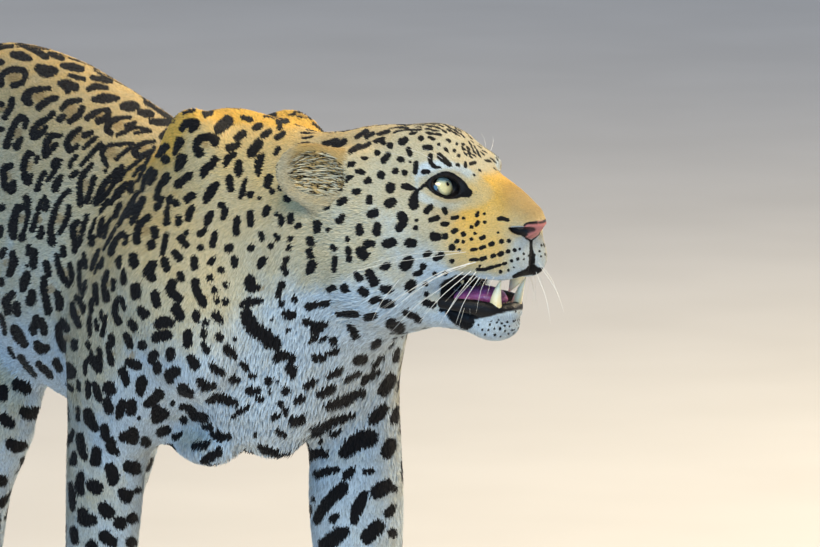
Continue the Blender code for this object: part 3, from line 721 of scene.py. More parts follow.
class Cells:
    """Finds the places that are near a point."""

    def __init__(self, places, size):
        self.places, self.size = places, size
        keys = np.floor(places / size).astype(np.int64)
        code = (keys[:, 0] * CELL_ROWS + keys[:, 1]) * CELL_ROWS + keys[:, 2]
        self.order = np.argsort(code, kind="stable")
        codes, starts = np.unique(code[self.order], return_index=True)
        ends = np.append(starts[1:], len(code))
        self.bins = {code: (start, end) for code, start, end in zip(codes.tolist(), starts, ends)}

    def near(self, place, reach):
        low = np.floor((place - reach) / self.size).astype(int)
        high = np.floor((place + reach) / self.size).astype(int)
        found = []
        for i, j, k in product(*(range(first, last + 1) for first, last in zip(low, high))):
            span = self.bins.get((i * CELL_ROWS + j) * CELL_ROWS + k)
            if span:
                found.append(self.order[span[0]:span[1]])
        if not found:
            return np.zeros(0, int)
        index = np.concatenate(found)
        away = ((self.places[index] - place) ** 2).sum(1)
        return index[away < reach * reach]


# Marks: each is a place, a direction out, two half axes along the skin, and a rosette's arcs or nothing

NO_MARK = 3.0  # the distance, in half widths, that stands for no mark near
SQUARENESS = 2.2  # of the ends of a rosette's arcs

def mark_at(place, normal, along, length, width, arcs, wobble):
    across = np.cross(normal, along)
    return place, normal, along, across, length / 2 * MM, width / 2 * MM, arcs, wobble


def random_arcs(dice):
    """A broken ring: (angle, half its spread, how far out, half thickness), in shares of the ring's size."""
    count = dice.integers(3, 6)
    turn = dice.uniform(0, 2 * math.pi)
    arcs = []
    for number in range(count):
        angle = turn + (number + dice.uniform(-0.14, 0.14)) * 2 * math.pi / count
        spread = math.pi / count * dice.uniform(0.62, 1.0)
        arcs.append((angle, spread, dice.uniform(0.68, 0.76), dice.uniform(0.25, 0.34)))
    return arcs


def paint_marks(marks, places, normals):
    """Each place's distance from the marks, 1 at their edges, and how far it is inside a rosette."""
    spot = np.full(len(places), NO_MARK)
    heart = np.zeros(len(places))
    cells = Cells(places, MARK_CELL)
    for place, normal, along, across, length, width, arcs, wobble in marks:
        near = cells.near(place, 1.7 * max(length, width))
        near = near[normals[near] @ normal > 0.15]
        away = places[near] - place
        first, second = away @ along / length, away @ across / width
        out = np.hypot(first, second)
        angle = np.arctan2(second, first)
        if len(arcs):
            found = np.full(len(near), NO_MARK)
            for turn, spread, middle, half in arcs:
                off = np.abs((angle - turn + math.pi) % (2 * math.pi) - math.pi)
                thick = np.abs(out - middle) / half
                long = off * np.maximum(out, 0.35) / (spread * middle)
                arc = thick**SQUARENESS + long**SQUARENESS
                found = np.minimum(found, arc ** (1 / SQUARENESS))
            np.maximum.at(heart, near, step(out, 1.0, 0.6))
        else:
            size = 1 + wobble[0] * np.cos(2 * angle + wobble[1]) + wobble[2] * np.cos(3 * angle + wobble[3])
            found = out / size
        np.minimum.at(spot, near, found)
    return spot, heart


# Drawn marks of the right side, as they stand in the camera's frame of 820 by 547 points: each stroke is
# a run of (across, down, half width), and the camera casts it onto the coat. The head's are on both its sides

LID_LINES = (
    (416.6, 190.8, 1.2, 434, 178.2, 2, 442.3, 173.8, 2, 450.6, 174.6, 2.3, 456.4, 179.9, 2.7, 461.7, 187,
    3.3, 468.8, 192.8, 3.6),
    (431.5, 188.3, 1.5, 437.8, 193.2, 1.3, 445.1, 196.8, 1.3, 453.4, 195.8, 1.5, 460.5, 194.5, 2.3, 468,
    194.1, 3), (416.6, 190.8, 1.5, 413.6, 197.8, 4.3, 413.3, 205.3, 5),
)
NOSE_LINES = (
    (498.6, 219, 1.8, 501.4, 218.3, 2, 507.7, 220, 1.5), (497.8, 232.6, 1),
    (509.7, 228.6, 1.3, 515, 231, 2.4, 520, 232.6, 2.8, 525, 232.6, 3.2),
    (523, 236, 0.7, 527.5, 239.2, 0.8, 530.4, 242, 0.9, 530, 254, 0.7, 529.5, 264, 1),
    (514, 276.5, 1.8, 520, 274.8, 3, 526.8, 272.5, 3.4, 529.4, 268, 2.2),
    (524, 225.5, 0.8, 529, 223, 0.8, 538, 222.4, 0.7, 546, 222.6, 1.2),
)
LIP_LINES = (
    (447.2, 287.3, 7.5, 448.1, 298.9, 8, 454.7, 313.8, 8, 466.3, 322.1, 7.5),
    (447.2, 284, 5, 459.7, 280.7, 5.8, 472.9, 279.8, 5),
)
CHIN_FLECKS = (
    (496.5, 322.6, 1), (501.5, 323.4, 1.1), (507, 322.2, 1.1), (489.7, 325, 1), (504.2, 326.1, 1),
    (499.6, 329.1, 1.4), (494, 328.8, 0.9), (482.4, 330, 0.9), (488.5, 330.3, 0.8), (494.6, 335, 1.1),
    (509.2, 326.5, 0.8), (511.5, 330.3, 0.8), (490.8, 321.4, 0.8), (478.6, 325, 0.8), (504.6, 331, 0.9),
    (498.5, 320.3, 0.8), (513, 321.1, 0.8), (485, 334.5, 0.8), (508, 334, 0.8), (500, 336.5, 0.8),
)
WHISKER_ROWS = (
    (508.6, 240.9, 2), (501.1, 241.7, 2.3), (490.2, 244.7, 2.2, 492.5, 243.7, 2.2),
    (480.4, 248.4, 1.7, 484.2, 247.2, 1.8), (471.3, 250, 1.5, 475.9, 249.5, 1.5), (519.3, 249.2, 1.2),
    (514.4, 250.3, 1.8), (507.7, 251.5, 2.2), (499.5, 254.5, 2.3, 501.4, 253.5, 2.3),
    (491.7, 256.5, 1.8, 493.8, 255.8, 1.8), (481.2, 259.1, 2, 484.9, 258.3, 2),
    (470.4, 260, 1.5, 476.6, 259.5, 1.7), (523.5, 254.2, 1), (517.4, 259.1, 1.5), (511.4, 261.1, 1.5),
    (502.8, 264.1, 1.3, 505.8, 263.3, 1.3), (495.8, 266.3, 1.3, 499.8, 265.3, 1.3),
    (487.9, 268.2, 1.5, 492.8, 267.1, 1.5), (477.1, 269.4, 1.3, 485.9, 269.4, 1.5), (528.5, 256.1, 0.8),
    (523.5, 259.5, 0.8), (513.5, 267.4, 0.8), (508.1, 270.4, 1.2), (500.3, 271.6, 1.7), (479.6, 265.8, 1.3),
)
BROW_MARKS = (
    (439, 155.5, 2.7, 443.4, 160, 2.7, 449.4, 165, 2),
    (430.2, 155.5, 2.2, 430.2, 161.7, 2.3, 434, 166.6, 1.7, 439.8, 167.3, 0.8),
    (424.5, 147.6, 2.5, 430.2, 147.7, 2.5), (408.3, 149.7, 2.7, 409.9, 154.7, 2.3),
    (401.7, 142.3, 3, 405.3, 140.6, 2.5), (420.7, 138.5, 2.7), (415.7, 162.7, 2, 415.4, 170.4, 2),
    (409.9, 162.2, 1.2), (423.2, 171.6, 2.2, 427.8, 171.6, 2), (404.1, 172.4, 2.5), (458.3, 155.5, 1.8),
    (453.9, 150.6, 1.7), (465, 162.7, 1.3, 465, 166.3, 1.5), (470.4, 163.8, 1.7, 474.6, 162.7, 1.5),
    (438.5, 144.4, 1.5), (447.2, 139.8, 1.5, 449.7, 141.4, 1.3), (466.3, 139.4, 1, 474.6, 143.8, 1.3),
    (484.5, 163, 1.5), (456.4, 143.9, 1.3),
)
CHEEK_MARKS = (
    (403.3, 186.2, 2.7, 407.5, 187, 3.6, 414.1, 188.7, 1.3), (425.7, 211.4, 3, 429.8, 206.9, 3),
    (429.8, 220.2, 2.2, 436.8, 218, 2.8), (443.9, 209.4, 2.5, 444.8, 212.7, 2.3),
    (442.3, 224.3, 2.3, 446.7, 224.3, 2.2), (451.7, 218.5, 1.8, 457.2, 217.4, 1.8), (463.5, 218.7, 1.5),
    (476.6, 216, 1.7, 477.6, 213, 1.5), (484.2, 213.7, 1.3), (476.2, 225.1, 1.8, 477.9, 222.3, 1.8),
    (471.3, 227.3, 1.8), (484.5, 222.3, 1.5), (433.2, 236.7, 4.5, 437.3, 237.2, 4), (444.8, 236.6, 3.3),
    (452.7, 231.8, 2.3, 455.4, 230.3, 2.3), (463, 234.3, 2.5), (456.7, 241.4, 2.3), (463, 241.9, 1.8),
    (471.3, 239.2, 1.7), (474.6, 233.4, 1.5), (480.7, 238.6, 1.8, 483.7, 237.2, 1.8),
    (408.3, 242.9, 4.5, 412.6, 242.9, 4.3), (451.7, 247.5, 3.5), (458.8, 250, 1.7),
    (401.3, 216, 4.6, 402.3, 224.3, 4.3), (415.2, 227.8, 2.5), (416.2, 220.5, 1.7),
    (425.2, 254.8, 2.7, 428.5, 253.2, 2.8), (435.6, 258.3, 3, 441.1, 255.1, 3.3), (451.7, 261.1, 2.3),
    (404.1, 265.8, 5.6, 408.3, 261.1, 5.3), (422.9, 266.3, 3.3), (415.2, 274, 2.8, 419.6, 272.4, 2.8),
    (434.3, 273.2, 2.2), (445.1, 272.7, 2.7), (409.1, 287.3, 5.6, 410.8, 284.3, 5), (424.9, 284.3, 2.5),
    (425.7, 293.9, 2.7), (424.9, 302.9, 3.6, 432.3, 305.2, 3.6), (441.4, 310.2, 2.2),
    (405, 311.8, 2.7, 418.2, 319.6, 3.3),
)
TEMPLE_MARKS = (
    (381, 175, 3.5), (390, 187, 4.1, 390, 189, 4), (388, 204, 3.8, 392, 202, 4.1),
    (370, 215, 3.2, 375, 213, 3.5), (369, 198, 2.6, 369, 202, 2.6), (359, 227, 2.9, 359, 233, 2.8),
    (377, 226, 3.2, 376, 232, 3.8), (400, 216, 3.2, 404, 219, 3.2, 399, 228, 3.5),
    (367, 244, 3.2, 372, 244, 2.9), (361, 252, 5, 363, 255, 4.7), (386, 244, 4.1, 392, 242, 3.8),
    (369, 273, 3.8, 373, 282, 4.4), (383, 289, 3.5, 387, 290, 3.5), (361, 290, 3.2, 365, 293, 3.2),
    (356, 274, 2.3, 359, 279, 2.6), (372, 301, 2.6, 377, 299, 2.3), (383, 304, 3.5, 390, 304, 3.2),
    (344, 287, 3.2, 345, 289, 3.2), (329, 290, 2.3, 333, 287, 2.3), (338, 313, 2.1, 355, 313, 2.9),
    (308, 307, 3.2, 327, 303, 2.6), (366, 317, 2.6, 373, 315, 2.9), (390, 323, 5, 399, 327, 4.4),
    (404, 312, 2.3, 415, 317, 3.2), (350, 326, 3.5, 355, 335, 3.2), (347, 238, 1.5, 347, 241, 1.5),
    (348, 249, 2.1, 349, 260, 2.1), (333, 247, 2.3, 334, 249, 2.1), (335, 258, 1.8, 334, 270, 1.8),
    (309, 252, 2.9, 311, 256, 2.6), (312, 265, 4.4, 309, 271, 3.2), (310, 240, 3.5, 311, 243, 3.5),
    (317, 224, 3.5, 317, 230, 3.2), (328, 230, 1.8), (402, 142, 3.2, 405, 140, 2.6), (390, 146, 2.6),
    (383, 161, 2.3, 388, 155, 2.3), (377, 153, 2.3), (395, 171, 2.6), (405, 173, 2.1),
    (416, 166, 1.6, 415, 172, 1.6), (383, 143, 1.8), (375, 142, 1.2, 383, 139, 1.2),
    (361, 148, 1.2, 369, 144, 1.5), (349, 152, 1.5, 358, 147, 2.1), (356, 138, 1.3, 366, 132, 1.8),
    (366, 138, 1.2, 373, 134, 1.2), (378, 135, 1, 388, 132, 1.3), (333, 150, 2.1, 344, 142, 2.3),
    (324, 145, 2.3, 336, 142, 2.6),
)
NECK_MARKS = (
    (242, 118, 1.6, 250, 120, 1.9), (255, 128, 2.6, 260, 126, 2.2), (264, 118, 1.3, 274, 116, 1.9),
    (278, 122, 2.2, 286, 122, 1.9), (263, 136, 2.6, 269, 132, 2.2), (279, 128, 2.6),
    (277, 138, 2.6, 283, 134, 1.9), (251, 153, 4.5, 258, 144, 4.5),
    (262, 156, 2.2, 258, 164, 3.5, 258, 175, 1.6), (275, 154, 1.9, 278, 149, 1.9),
    (269, 179, 3.8, 267, 186, 2.9), (281, 188, 2.9), (250, 195, 3.2), (259, 199, 1.6), (272, 192, 2.1),
    (287, 199, 3.5), (267, 209, 2.9, 265, 214, 2.9), (276, 215, 1.9), (281, 217, 1.9, 281, 225, 1.9),
    (291, 216, 2.6, 290, 222, 2.6), (298, 226, 2.9), (250, 214, 2.9, 251, 225, 2.9),
    (237, 220, 2.6, 236, 234, 2.9), (261, 235, 2.6, 262, 240, 2.2), (276, 236, 1.9, 278, 240, 1.9),
    (271, 247, 2.9), (290, 239, 2.4), (289, 249, 2.7), (251, 249, 3.5), (229, 249, 4.5),
    (263, 261, 3.5, 260, 266, 3.2), (234, 261, 3.5, 235, 265, 3.5), (286, 261, 2.7),
    (283, 269, 2.2, 286, 274, 2.2), (250, 281, 4.8, 250, 287, 5.1, 258, 289, 2.9), (282, 286, 3.5),
    (279, 295, 3.2), (295, 300, 3.2), (282, 305, 2.1), (234, 340, 1.9), (219, 338, 4.1),
    (215, 316, 3.5, 220, 322, 3.2), (206, 323, 3.2), (196, 315, 3.5, 196, 320, 2.9), (203, 335, 3.5),
    (188, 334, 3.8, 188, 344, 4.5), (158, 325, 3.8, 165, 322, 5.1, 172, 325, 2.6),
    (157, 338, 4.8, 168, 336, 4.5), (176, 310, 4.8, 180, 317, 4.5), (155, 295, 3.8, 157, 305, 3.8),
    (172, 285, 4.5, 170, 292, 3.8, 179, 299, 3.8), (180, 275, 2.9, 182, 280, 2.6),
    (195, 283, 4.1, 196, 290, 3.2, 201, 300, 4.1, 204, 305, 2.9), (210, 279, 3.2), (221, 271, 3.2),
    (226, 286, 2.9), (214, 291, 2.9), (216, 301, 3.2), (225, 303, 3.5),
    (152, 266, 4.5, 148, 273, 4.5, 152, 279, 3.8), (164, 261, 3.2, 167, 269, 3.2),
    (175, 254, 3.2, 179, 259, 3.2), (194, 260, 3.2, 194, 268, 3.2), (214, 259, 1.9, 210, 264, 2.6),
    (200, 249, 2.9), (180, 239, 3.2, 186, 246, 2.6), (186, 234, 2.2), (200, 235, 2.9, 205, 231, 1.6),
    (215, 234, 2.2, 212, 246, 2.6), (166, 236, 2.2, 162, 254, 1.9),
)
WITHERS_MARKS = (
    (123, 107, 3.4, 130, 107, 4.8, 135, 107, 3.3), (140, 113, 2.7, 146, 114, 3.6, 151, 115, 2.3),
    (146, 102, 2.9, 159, 111, 2.3), (159, 111, 2.3, 167, 115, 3.3, 175, 118, 2.1),
    (150, 122, 1.7, 157, 123, 2.9, 167, 123, 3.3, 175, 122, 2.3), (167, 132, 2.3, 162, 137, 2.9),
    (154, 142, 1, 143, 144, 1.9, 136, 149, 2.9, 136, 155, 2.7, 140, 156, 1.7, 152, 151, 1),
    (154, 148, 0.8, 145, 167, 1.5, 138, 182, 0.8), (146, 156, 1, 127, 171, 1.3, 119, 182, 1.1),
    (141, 167, 1, 133, 177, 1), (152, 170, 1.9, 146, 178, 2.1, 142, 192, 1.3),
    (131, 185, 3.1, 130, 192, 2.7), (126, 183, 0.8, 117, 192, 1.3, 111, 205, 1.5),
    (124, 189, 1, 118, 199, 1.1), (137, 194, 1.9, 123, 218, 1.3, 119, 227, 1),
    (143, 200, 2.7, 131, 223, 1.3), (134, 205, 1.1, 128, 218, 1.3), (120, 206, 2.3, 115, 218, 2.1),
    (108, 202, 1.9, 101, 211, 1.3), (156, 173, 2.1, 153, 179, 3.1, 150, 185, 1.5),
    (167, 147, 2.9, 161, 152, 3.8, 158, 156, 2.1), (166, 160, 4.2), (180, 142, 4.4, 175, 154, 1.3),
    (182, 159, 4.8, 180, 165, 4.4, 177, 170, 1.7),
    (182, 130, 2.5, 186, 124, 3.3, 195, 124, 4, 191, 131, 1.9), (184, 114, 0.8, 197, 110, 0.8),
    (205, 114, 2.9, 211, 112, 3.3, 220, 110, 0.8), (219, 128, 5, 227, 122, 5.4),
    (199, 153, 4.4, 196, 147, 2.9, 199, 140, 3.6, 207, 137, 2.9, 215, 138, 3.1, 214, 143, 3.6),
    (237, 138, 3.3, 243, 134, 3.1), (228, 148, 3.3, 239, 145, 1.5),
    (235, 154, 1.5, 228, 158, 2.9, 224, 166, 1.7), (238, 164, 3.3, 238, 171, 3.3, 238, 176, 1.3),
    (214, 160, 3.4, 211, 165, 3.1, 204, 171, 3.6, 203, 177, 1.7),
    (229, 178, 2.7, 229, 184, 3.4, 231, 190, 2.7), (246, 179, 1, 243, 188, 1.9, 240, 198, 1.3),
    (189, 176, 3.6, 184, 180, 2.9, 178, 185, 4),
    (167, 177, 3.4, 165, 182, 3.3, 159, 189, 2.3, 156, 199, 2.5), (192, 196, 3.6, 187, 200, 3.3),
    (216, 185, 2.7, 211, 191, 4.2, 207, 198, 3.3, 205, 203, 1.3), (221, 206, 3.3),
    (225, 211, 3.4, 223, 219, 2.1), (162, 199, 1.7, 157, 208, 3.3), (170, 199, 2.7, 169, 204, 1.5),
    (176, 204, 3.1), (167, 209, 1.7, 166, 224, 2.9), (178, 218, 2.1, 178, 224, 3.1),
    (192, 209, 2.3, 189, 215, 3.3, 188, 220, 2.7), (211, 214, 2.7, 208, 220, 3.4, 206, 224, 2.1),
    (148, 219, 2.5, 141, 223, 2.7, 137, 232, 3.1, 137, 242, 3.3), (154, 231, 3.8, 155, 237, 2.7),
    (151, 246, 4.6),
)
BACK_MARKS = (
    (0, 48, 2.5, 11, 47, 2.1), (21, 45, 2.1, 33, 50, 3, 46, 58, 2.8), (34, 47, 1.6, 45, 49, 0.9),
    (13, 55, 3.2, 21, 57, 4.4, 30, 60, 2.1), (50, 54, 2.5, 57, 57, 3.2, 62, 60, 1.7), (1, 63, 3.2),
    (38, 69, 4, 46, 72, 6.4, 54, 72, 4), (62, 66, 2.3, 72, 68, 4.1, 81, 70, 2.8),
    (69, 76, 1.6, 76, 78, 2.3, 84, 80, 1.4), (94, 70, 1.4, 100, 73, 1.4),
    (91, 78, 1.8, 100, 80, 2.8, 110, 82, 2.3),
    (1, 85, 3.4, 1, 78, 3.2, 7, 72, 3, 17, 70, 2.9, 25, 73, 2.8, 25, 78, 2.3, 21, 84, 2.8, 13, 86, 3),
    (49, 89, 2.1, 38, 90, 2.8, 29, 93, 3.9, 26, 100, 4.6, 30, 104, 3.2),
    (56, 99, 2.5, 48, 101, 3.4, 39, 108, 3.4), (60, 84, 2.8, 67, 86, 5.2, 75, 88, 3.9), (68, 92, 3),
    (88, 90, 2.1, 95, 87, 2.8, 106, 89, 2.1), (94, 100, 2.8, 102, 99, 4.8, 110, 99, 3.7, 118, 99, 1.4),
    (62, 109, 2.3, 68, 103, 2.8, 80, 101, 2.1), (82, 109, 3, 78, 116, 3.2, 70, 122, 3),
    (60, 120, 3.7, 63, 117, 2.5),
    (87, 119, 2.8, 92, 115, 2.8, 101, 111, 2.3, 108, 111, 2.3, 107, 117, 2.5, 98, 122, 3.2),
    (130, 118, 1.4, 119, 119, 2.1, 110, 123, 3.2, 107, 130, 3.2, 111, 134, 2.5),
    (135, 123, 1.4, 126, 126, 2.1), (117, 136, 1.4, 127, 131, 2.3, 137, 128, 1.4, 150, 131, 1.1),
    (134, 134, 1.1, 149, 131, 1.6), (1, 105, 3.4), (12, 100, 2.8, 11, 107, 3.4, 5, 118, 2.5), (1, 130, 3),
    (25, 128, 2.3, 26, 121, 3, 19, 119, 3.2, 9, 138, 3.2, 7, 146, 3.9), (21, 140, 2.8, 17, 147, 3.9),
    (53, 114, 2.8, 48, 119, 2.5, 39, 124, 3, 33, 132, 3.4, 34, 138, 3.2, 41, 134, 3, 46, 128, 2.3),
    (61, 136, 2.1, 50, 137, 3.2, 46, 146, 3, 45, 157, 2.8, 50, 152, 2.1, 56, 145, 2.5),
    (79, 130, 2.8, 71, 136, 3, 67, 144, 3.2, 70, 151, 3, 77, 146, 2.1), (91, 133, 2.3, 85, 136, 3.2),
    (96, 138, 1.8, 90, 143, 2.3, 84, 149, 1.8), (100, 145, 2.8, 81, 166, 1.6),
    (76, 157, 2.3, 71, 163, 2.1, 70, 168, 1.8), (76, 173, 2.8, 71, 177, 2.3),
    (132, 144, 1.4, 109, 146, 2.1, 103, 152, 2.3, 102, 157, 1.8), (130, 148, 1.6, 116, 160, 2.1),
    (104, 160, 2.8, 107, 166, 2.1), (105, 171, 2.1), (37, 158, 2.3, 36, 163, 2.1),
    (33, 154, 1.8, 28, 155, 3.2, 24, 166, 3.2, 25, 176, 3.2, 28, 183, 3.2, 32, 176, 1.8),
    (62, 161, 1.1, 56, 161, 2.3, 52, 167, 1.6), (59, 165, 2.3, 48, 181, 1.8),
    (45, 173, 2.3, 41, 179, 2.5, 38, 189, 3.4), (61, 177, 2.5, 57, 184, 3.9, 55, 190, 3.2),
    (11, 166, 3, 5, 169, 3.4, 4, 177, 3, 6, 187, 3.7, 13, 191, 3.7, 14, 183, 2.8),
    (92, 165, 2.1, 85, 173, 2.5, 80, 184, 3, 80, 205, 2.8), (94, 178, 2.5, 87, 202, 2.3),
    (122, 167, 2.3, 115, 173, 2.3, 104, 185, 2.8, 98, 197, 3.2, 96, 204, 3.4),
    (122, 168, 1.4, 115, 182, 2.3, 108, 193, 2.1, 101, 201, 1.8),
    (69, 191, 2.3, 62, 198, 2.5, 57, 206, 2.5), (45, 197, 1.8, 40, 205, 2.3), (48, 202, 2.1, 46, 210, 2.5),
    (26, 198, 3.2, 28, 206, 3), (21, 208, 3),
)
FLANK_MARKS = (
    (18, 207, 2.8, 15, 217, 4.1, 13, 229, 4.6, 14, 237, 3.4),
    (28, 207, 2.8, 28, 217, 2.3, 25, 229, 1.6, 22, 239, 3.4), (40, 206, 2.1, 33, 230, 2.8), (45, 209, 2.3),
    (42, 228, 2.3, 40, 237, 3.4), (57, 206, 2.8, 53, 219, 3.2, 51, 230, 3.2, 52, 243, 3.9),
    (69, 208, 2.8, 68, 217, 2.8, 60, 234, 2.3), (2, 208, 3.9), (1, 229, 3.2, 0, 236, 2.8),
    (78, 222, 2.5, 73, 229, 3, 75, 252, 2.8), (87, 216, 1.8, 84, 227, 2.5, 79, 246, 1.6),
    (95, 220, 1.6, 89, 238, 1.8), (92, 238, 2.8, 92, 245, 3.2),
    (103, 219, 1.8, 100, 229, 2.5, 99, 237, 1.8), (110, 220, 1.4, 106, 230, 2.3, 104, 239, 1.8),
    (104, 206, 2.1, 100, 214, 1.4), (119, 207, 2.3, 116, 216, 2.8), (130, 206, 1.4, 119, 227, 1.1),
    (134, 208, 1.8, 127, 217, 1.8), (142, 206, 1.6, 137, 216, 1.8, 131, 226, 1.1),
    (148, 217, 2.5, 140, 226, 3.2, 137, 235, 3.4, 137, 242, 3.2),
    (123, 235, 3.2, 117, 240, 2.5, 112, 250, 3.2, 111, 255, 2.8), (127, 237, 1.6, 125, 245, 2.3),
    (115, 231, 1.4, 104, 251, 1.1), (133, 258, 4.6, 134, 265, 4.6),
    (120, 258, 1.8, 119, 263, 3, 119, 268, 2.1), (124, 271, 1.6, 124, 278, 3.2, 124, 283, 3.4),
    (108, 273, 2.3, 106, 279, 3.2, 104, 286, 2.1, 107, 297, 4.1, 107, 301, 3),
    (114, 281, 2.3, 114, 290, 2.3), (136, 289, 5.3, 136, 296, 5),
    (119, 298, 1.8, 116, 307, 3, 116, 315, 3, 119, 322, 4.1), (123, 300, 2.1, 125, 310, 2.1),
    (141, 311, 3.9, 145, 315, 5.3), (132, 324, 4.1, 135, 328, 4.1),
    (127, 336, 3.4, 129, 341, 3.9, 131, 346, 3.4), (143, 346, 4.8), (112, 337, 3.2, 113, 344, 3.4),
    (108, 345, 1.6, 112, 363, 3.7), (129, 363, 4.1, 138, 366, 4.8),
    (123, 372, 4.4, 126, 379, 4.4, 127, 384, 3), (142, 382, 5), (5, 250, 2.5, 2, 256, 3.2),
    (13, 254, 3.2, 14, 262, 4.1, 10, 274, 3.4), (29, 247, 2.3, 28, 254, 2.1), (27, 266, 1.6),
    (35, 252, 3.4, 34, 260, 3.9, 34, 267, 2.8), (63, 248, 2.5, 64, 255, 3),
    (57, 256, 2.3, 59, 266, 3, 63, 277, 3.2, 69, 286, 3), (70, 265, 2.3, 72, 274, 2.5, 73, 282, 1.8),
    (46, 263, 3.2, 49, 274, 3.4), (44, 279, 3, 45, 293, 3.7, 49, 312, 3.7),
    (57, 293, 2.8, 60, 301, 4.1, 60, 308, 3.7), (27, 275, 3.9, 25, 282, 5, 23, 290, 3),
    (33, 293, 3.9, 31, 301, 5.3), (1, 282, 4.4), (13, 294, 3.4, 7, 301, 3.9, 9, 312, 3.4),
    (17, 305, 3.9, 18, 313, 3.9), (84, 255, 1.8, 85, 263, 2.5, 86, 269, 1.6),
    (80, 263, 2.1, 80, 286, 1.8, 84, 297, 1.4), (86, 282, 1.8, 85, 291, 1.8),
    (77, 298, 2.1, 83, 307, 2.8, 84, 313, 1.8), (73, 305, 2.3, 75, 316, 3.4, 80, 327, 2.8),
    (99, 251, 1.4, 95, 261, 2.5, 92, 271, 1.6), (103, 259, 1.4, 101, 268, 2.3),
    (98, 266, 0.9, 95, 275, 0.9), (96, 286, 2.8, 96, 293, 3.2, 98, 305, 1.4), (92, 301, 2.1, 92, 312, 2.3),
    (90, 318, 1.6, 90, 328, 2.3, 91, 337, 1.4), (96, 321, 1.4, 98, 330, 2.1),
    (102, 312, 1.6, 102, 320, 1.8), (107, 317, 1.6, 103, 336, 2.5),
    (37, 319, 3.9, 34, 328, 3.9, 34, 333, 2.8), (42, 322, 3.9, 45, 332, 3.7),
    (16, 329, 4.6, 19, 335, 5.5, 25, 344, 3.7), (38, 344, 3.9, 42, 349, 5.3, 48, 348, 3.2),
    (63, 322, 3.2, 68, 330, 3.4), (59, 327, 3.2, 60, 338, 3.7, 65, 349, 3.9), (75, 343, 3.2, 75, 349, 3.2),
    (2, 316, 2.1, 5, 325, 2.5, 6, 333, 1.8), (88, 344, 2.3, 90, 349, 1.8),
    (88, 360, 1.6, 86, 367, 2.3, 86, 375, 1.6), (92, 354, 1.6, 92, 364, 1.4),
    (100, 351, 2.8, 101, 360, 2.5, 100, 371, 3.4), (96, 359, 2.1, 95, 368, 2.3),
    (57, 362, 4.1, 60, 369, 3.7), (69, 367, 4.1, 72, 374, 6.2), (39, 363, 2.8, 46, 370, 3.4, 52, 376, 2.5),
    (21, 356, 2.5, 29, 367, 3.7, 36, 375, 2.3), (10, 348, 2.1, 15, 356, 1.6),
)
BREAST_MARKS = (
    (155, 355, 4.3, 152, 360, 3.3), (158, 366, 3.9, 158, 371, 3.3), (171, 352, 4.1, 171, 357, 4.1),
    (191, 360, 4.3, 195, 366, 4.3), (204, 347, 2.9, 207, 352, 2.7),
    (225, 350, 3.1, 230, 353, 3.5, 234, 357, 2.7), (171, 375, 5.7, 176, 372, 5.1), (171, 380, 3.3),
    (211, 366, 2.9, 216, 371, 3.3, 222, 373, 2.2), (241, 363, 2.4, 246, 368, 2.4),
    (251, 376, 3.1, 255, 376, 2.4), (143, 381, 4.9, 141, 388, 4.5, 141, 393, 2.9),
    (200, 381, 2.9, 204, 386, 3.7, 213, 385, 2), (231, 379, 3.5, 237, 381, 2.7), (268, 381, 3.9),
    (279, 383, 2), (286, 391, 4.1), (184, 389, 5.5, 189, 393, 5.1),
    (159, 394, 5.1, 153, 400, 3.9, 147, 404, 3.3), (249, 391, 3.1, 255, 391, 3.5, 260, 389, 1.6),
    (270, 392, 1.8), (209, 399, 2.9, 218, 397, 4.5, 236, 403, 3.1), (172, 403, 1.8),
    (132, 404, 4.5, 132, 410, 4.3), (157, 411, 5.7, 156, 418, 4.9, 164, 414, 4.5),
    (182, 407, 2.7, 190, 408, 3.5, 197, 416, 5.1, 207, 417, 3.9), (184, 420, 4.1),
    (257, 400, 1.8, 263, 399, 1.8), (278, 402, 1.8, 282, 405, 1.8),
    (232, 418, 1, 240, 412, 2, 249, 407, 1.8), (139, 418, 1.6), (160, 432, 4.5, 166, 430, 4.5),
    (206, 428, 2.2, 212, 426, 2), (133, 432, 4.7, 133, 440, 4.3), (145, 441, 4.3),
    (216, 436, 4.9, 223, 437, 5.3, 231, 435, 2.4), (195, 448, 2.9, 201, 447, 3.5, 208, 447, 2.2),
    (203, 461, 1.6, 211, 457, 3.3, 220, 453, 2.9), (276, 430, 2, 284, 435, 1.6),
    (260, 445, 2.4, 266, 449, 3.5, 275, 450, 1.8), (273, 417, 2.2, 278, 417, 1.8), (285, 412, 2.9),
    (256, 434, 1.4), (176, 438, 2.9, 182, 434, 1.6),
)
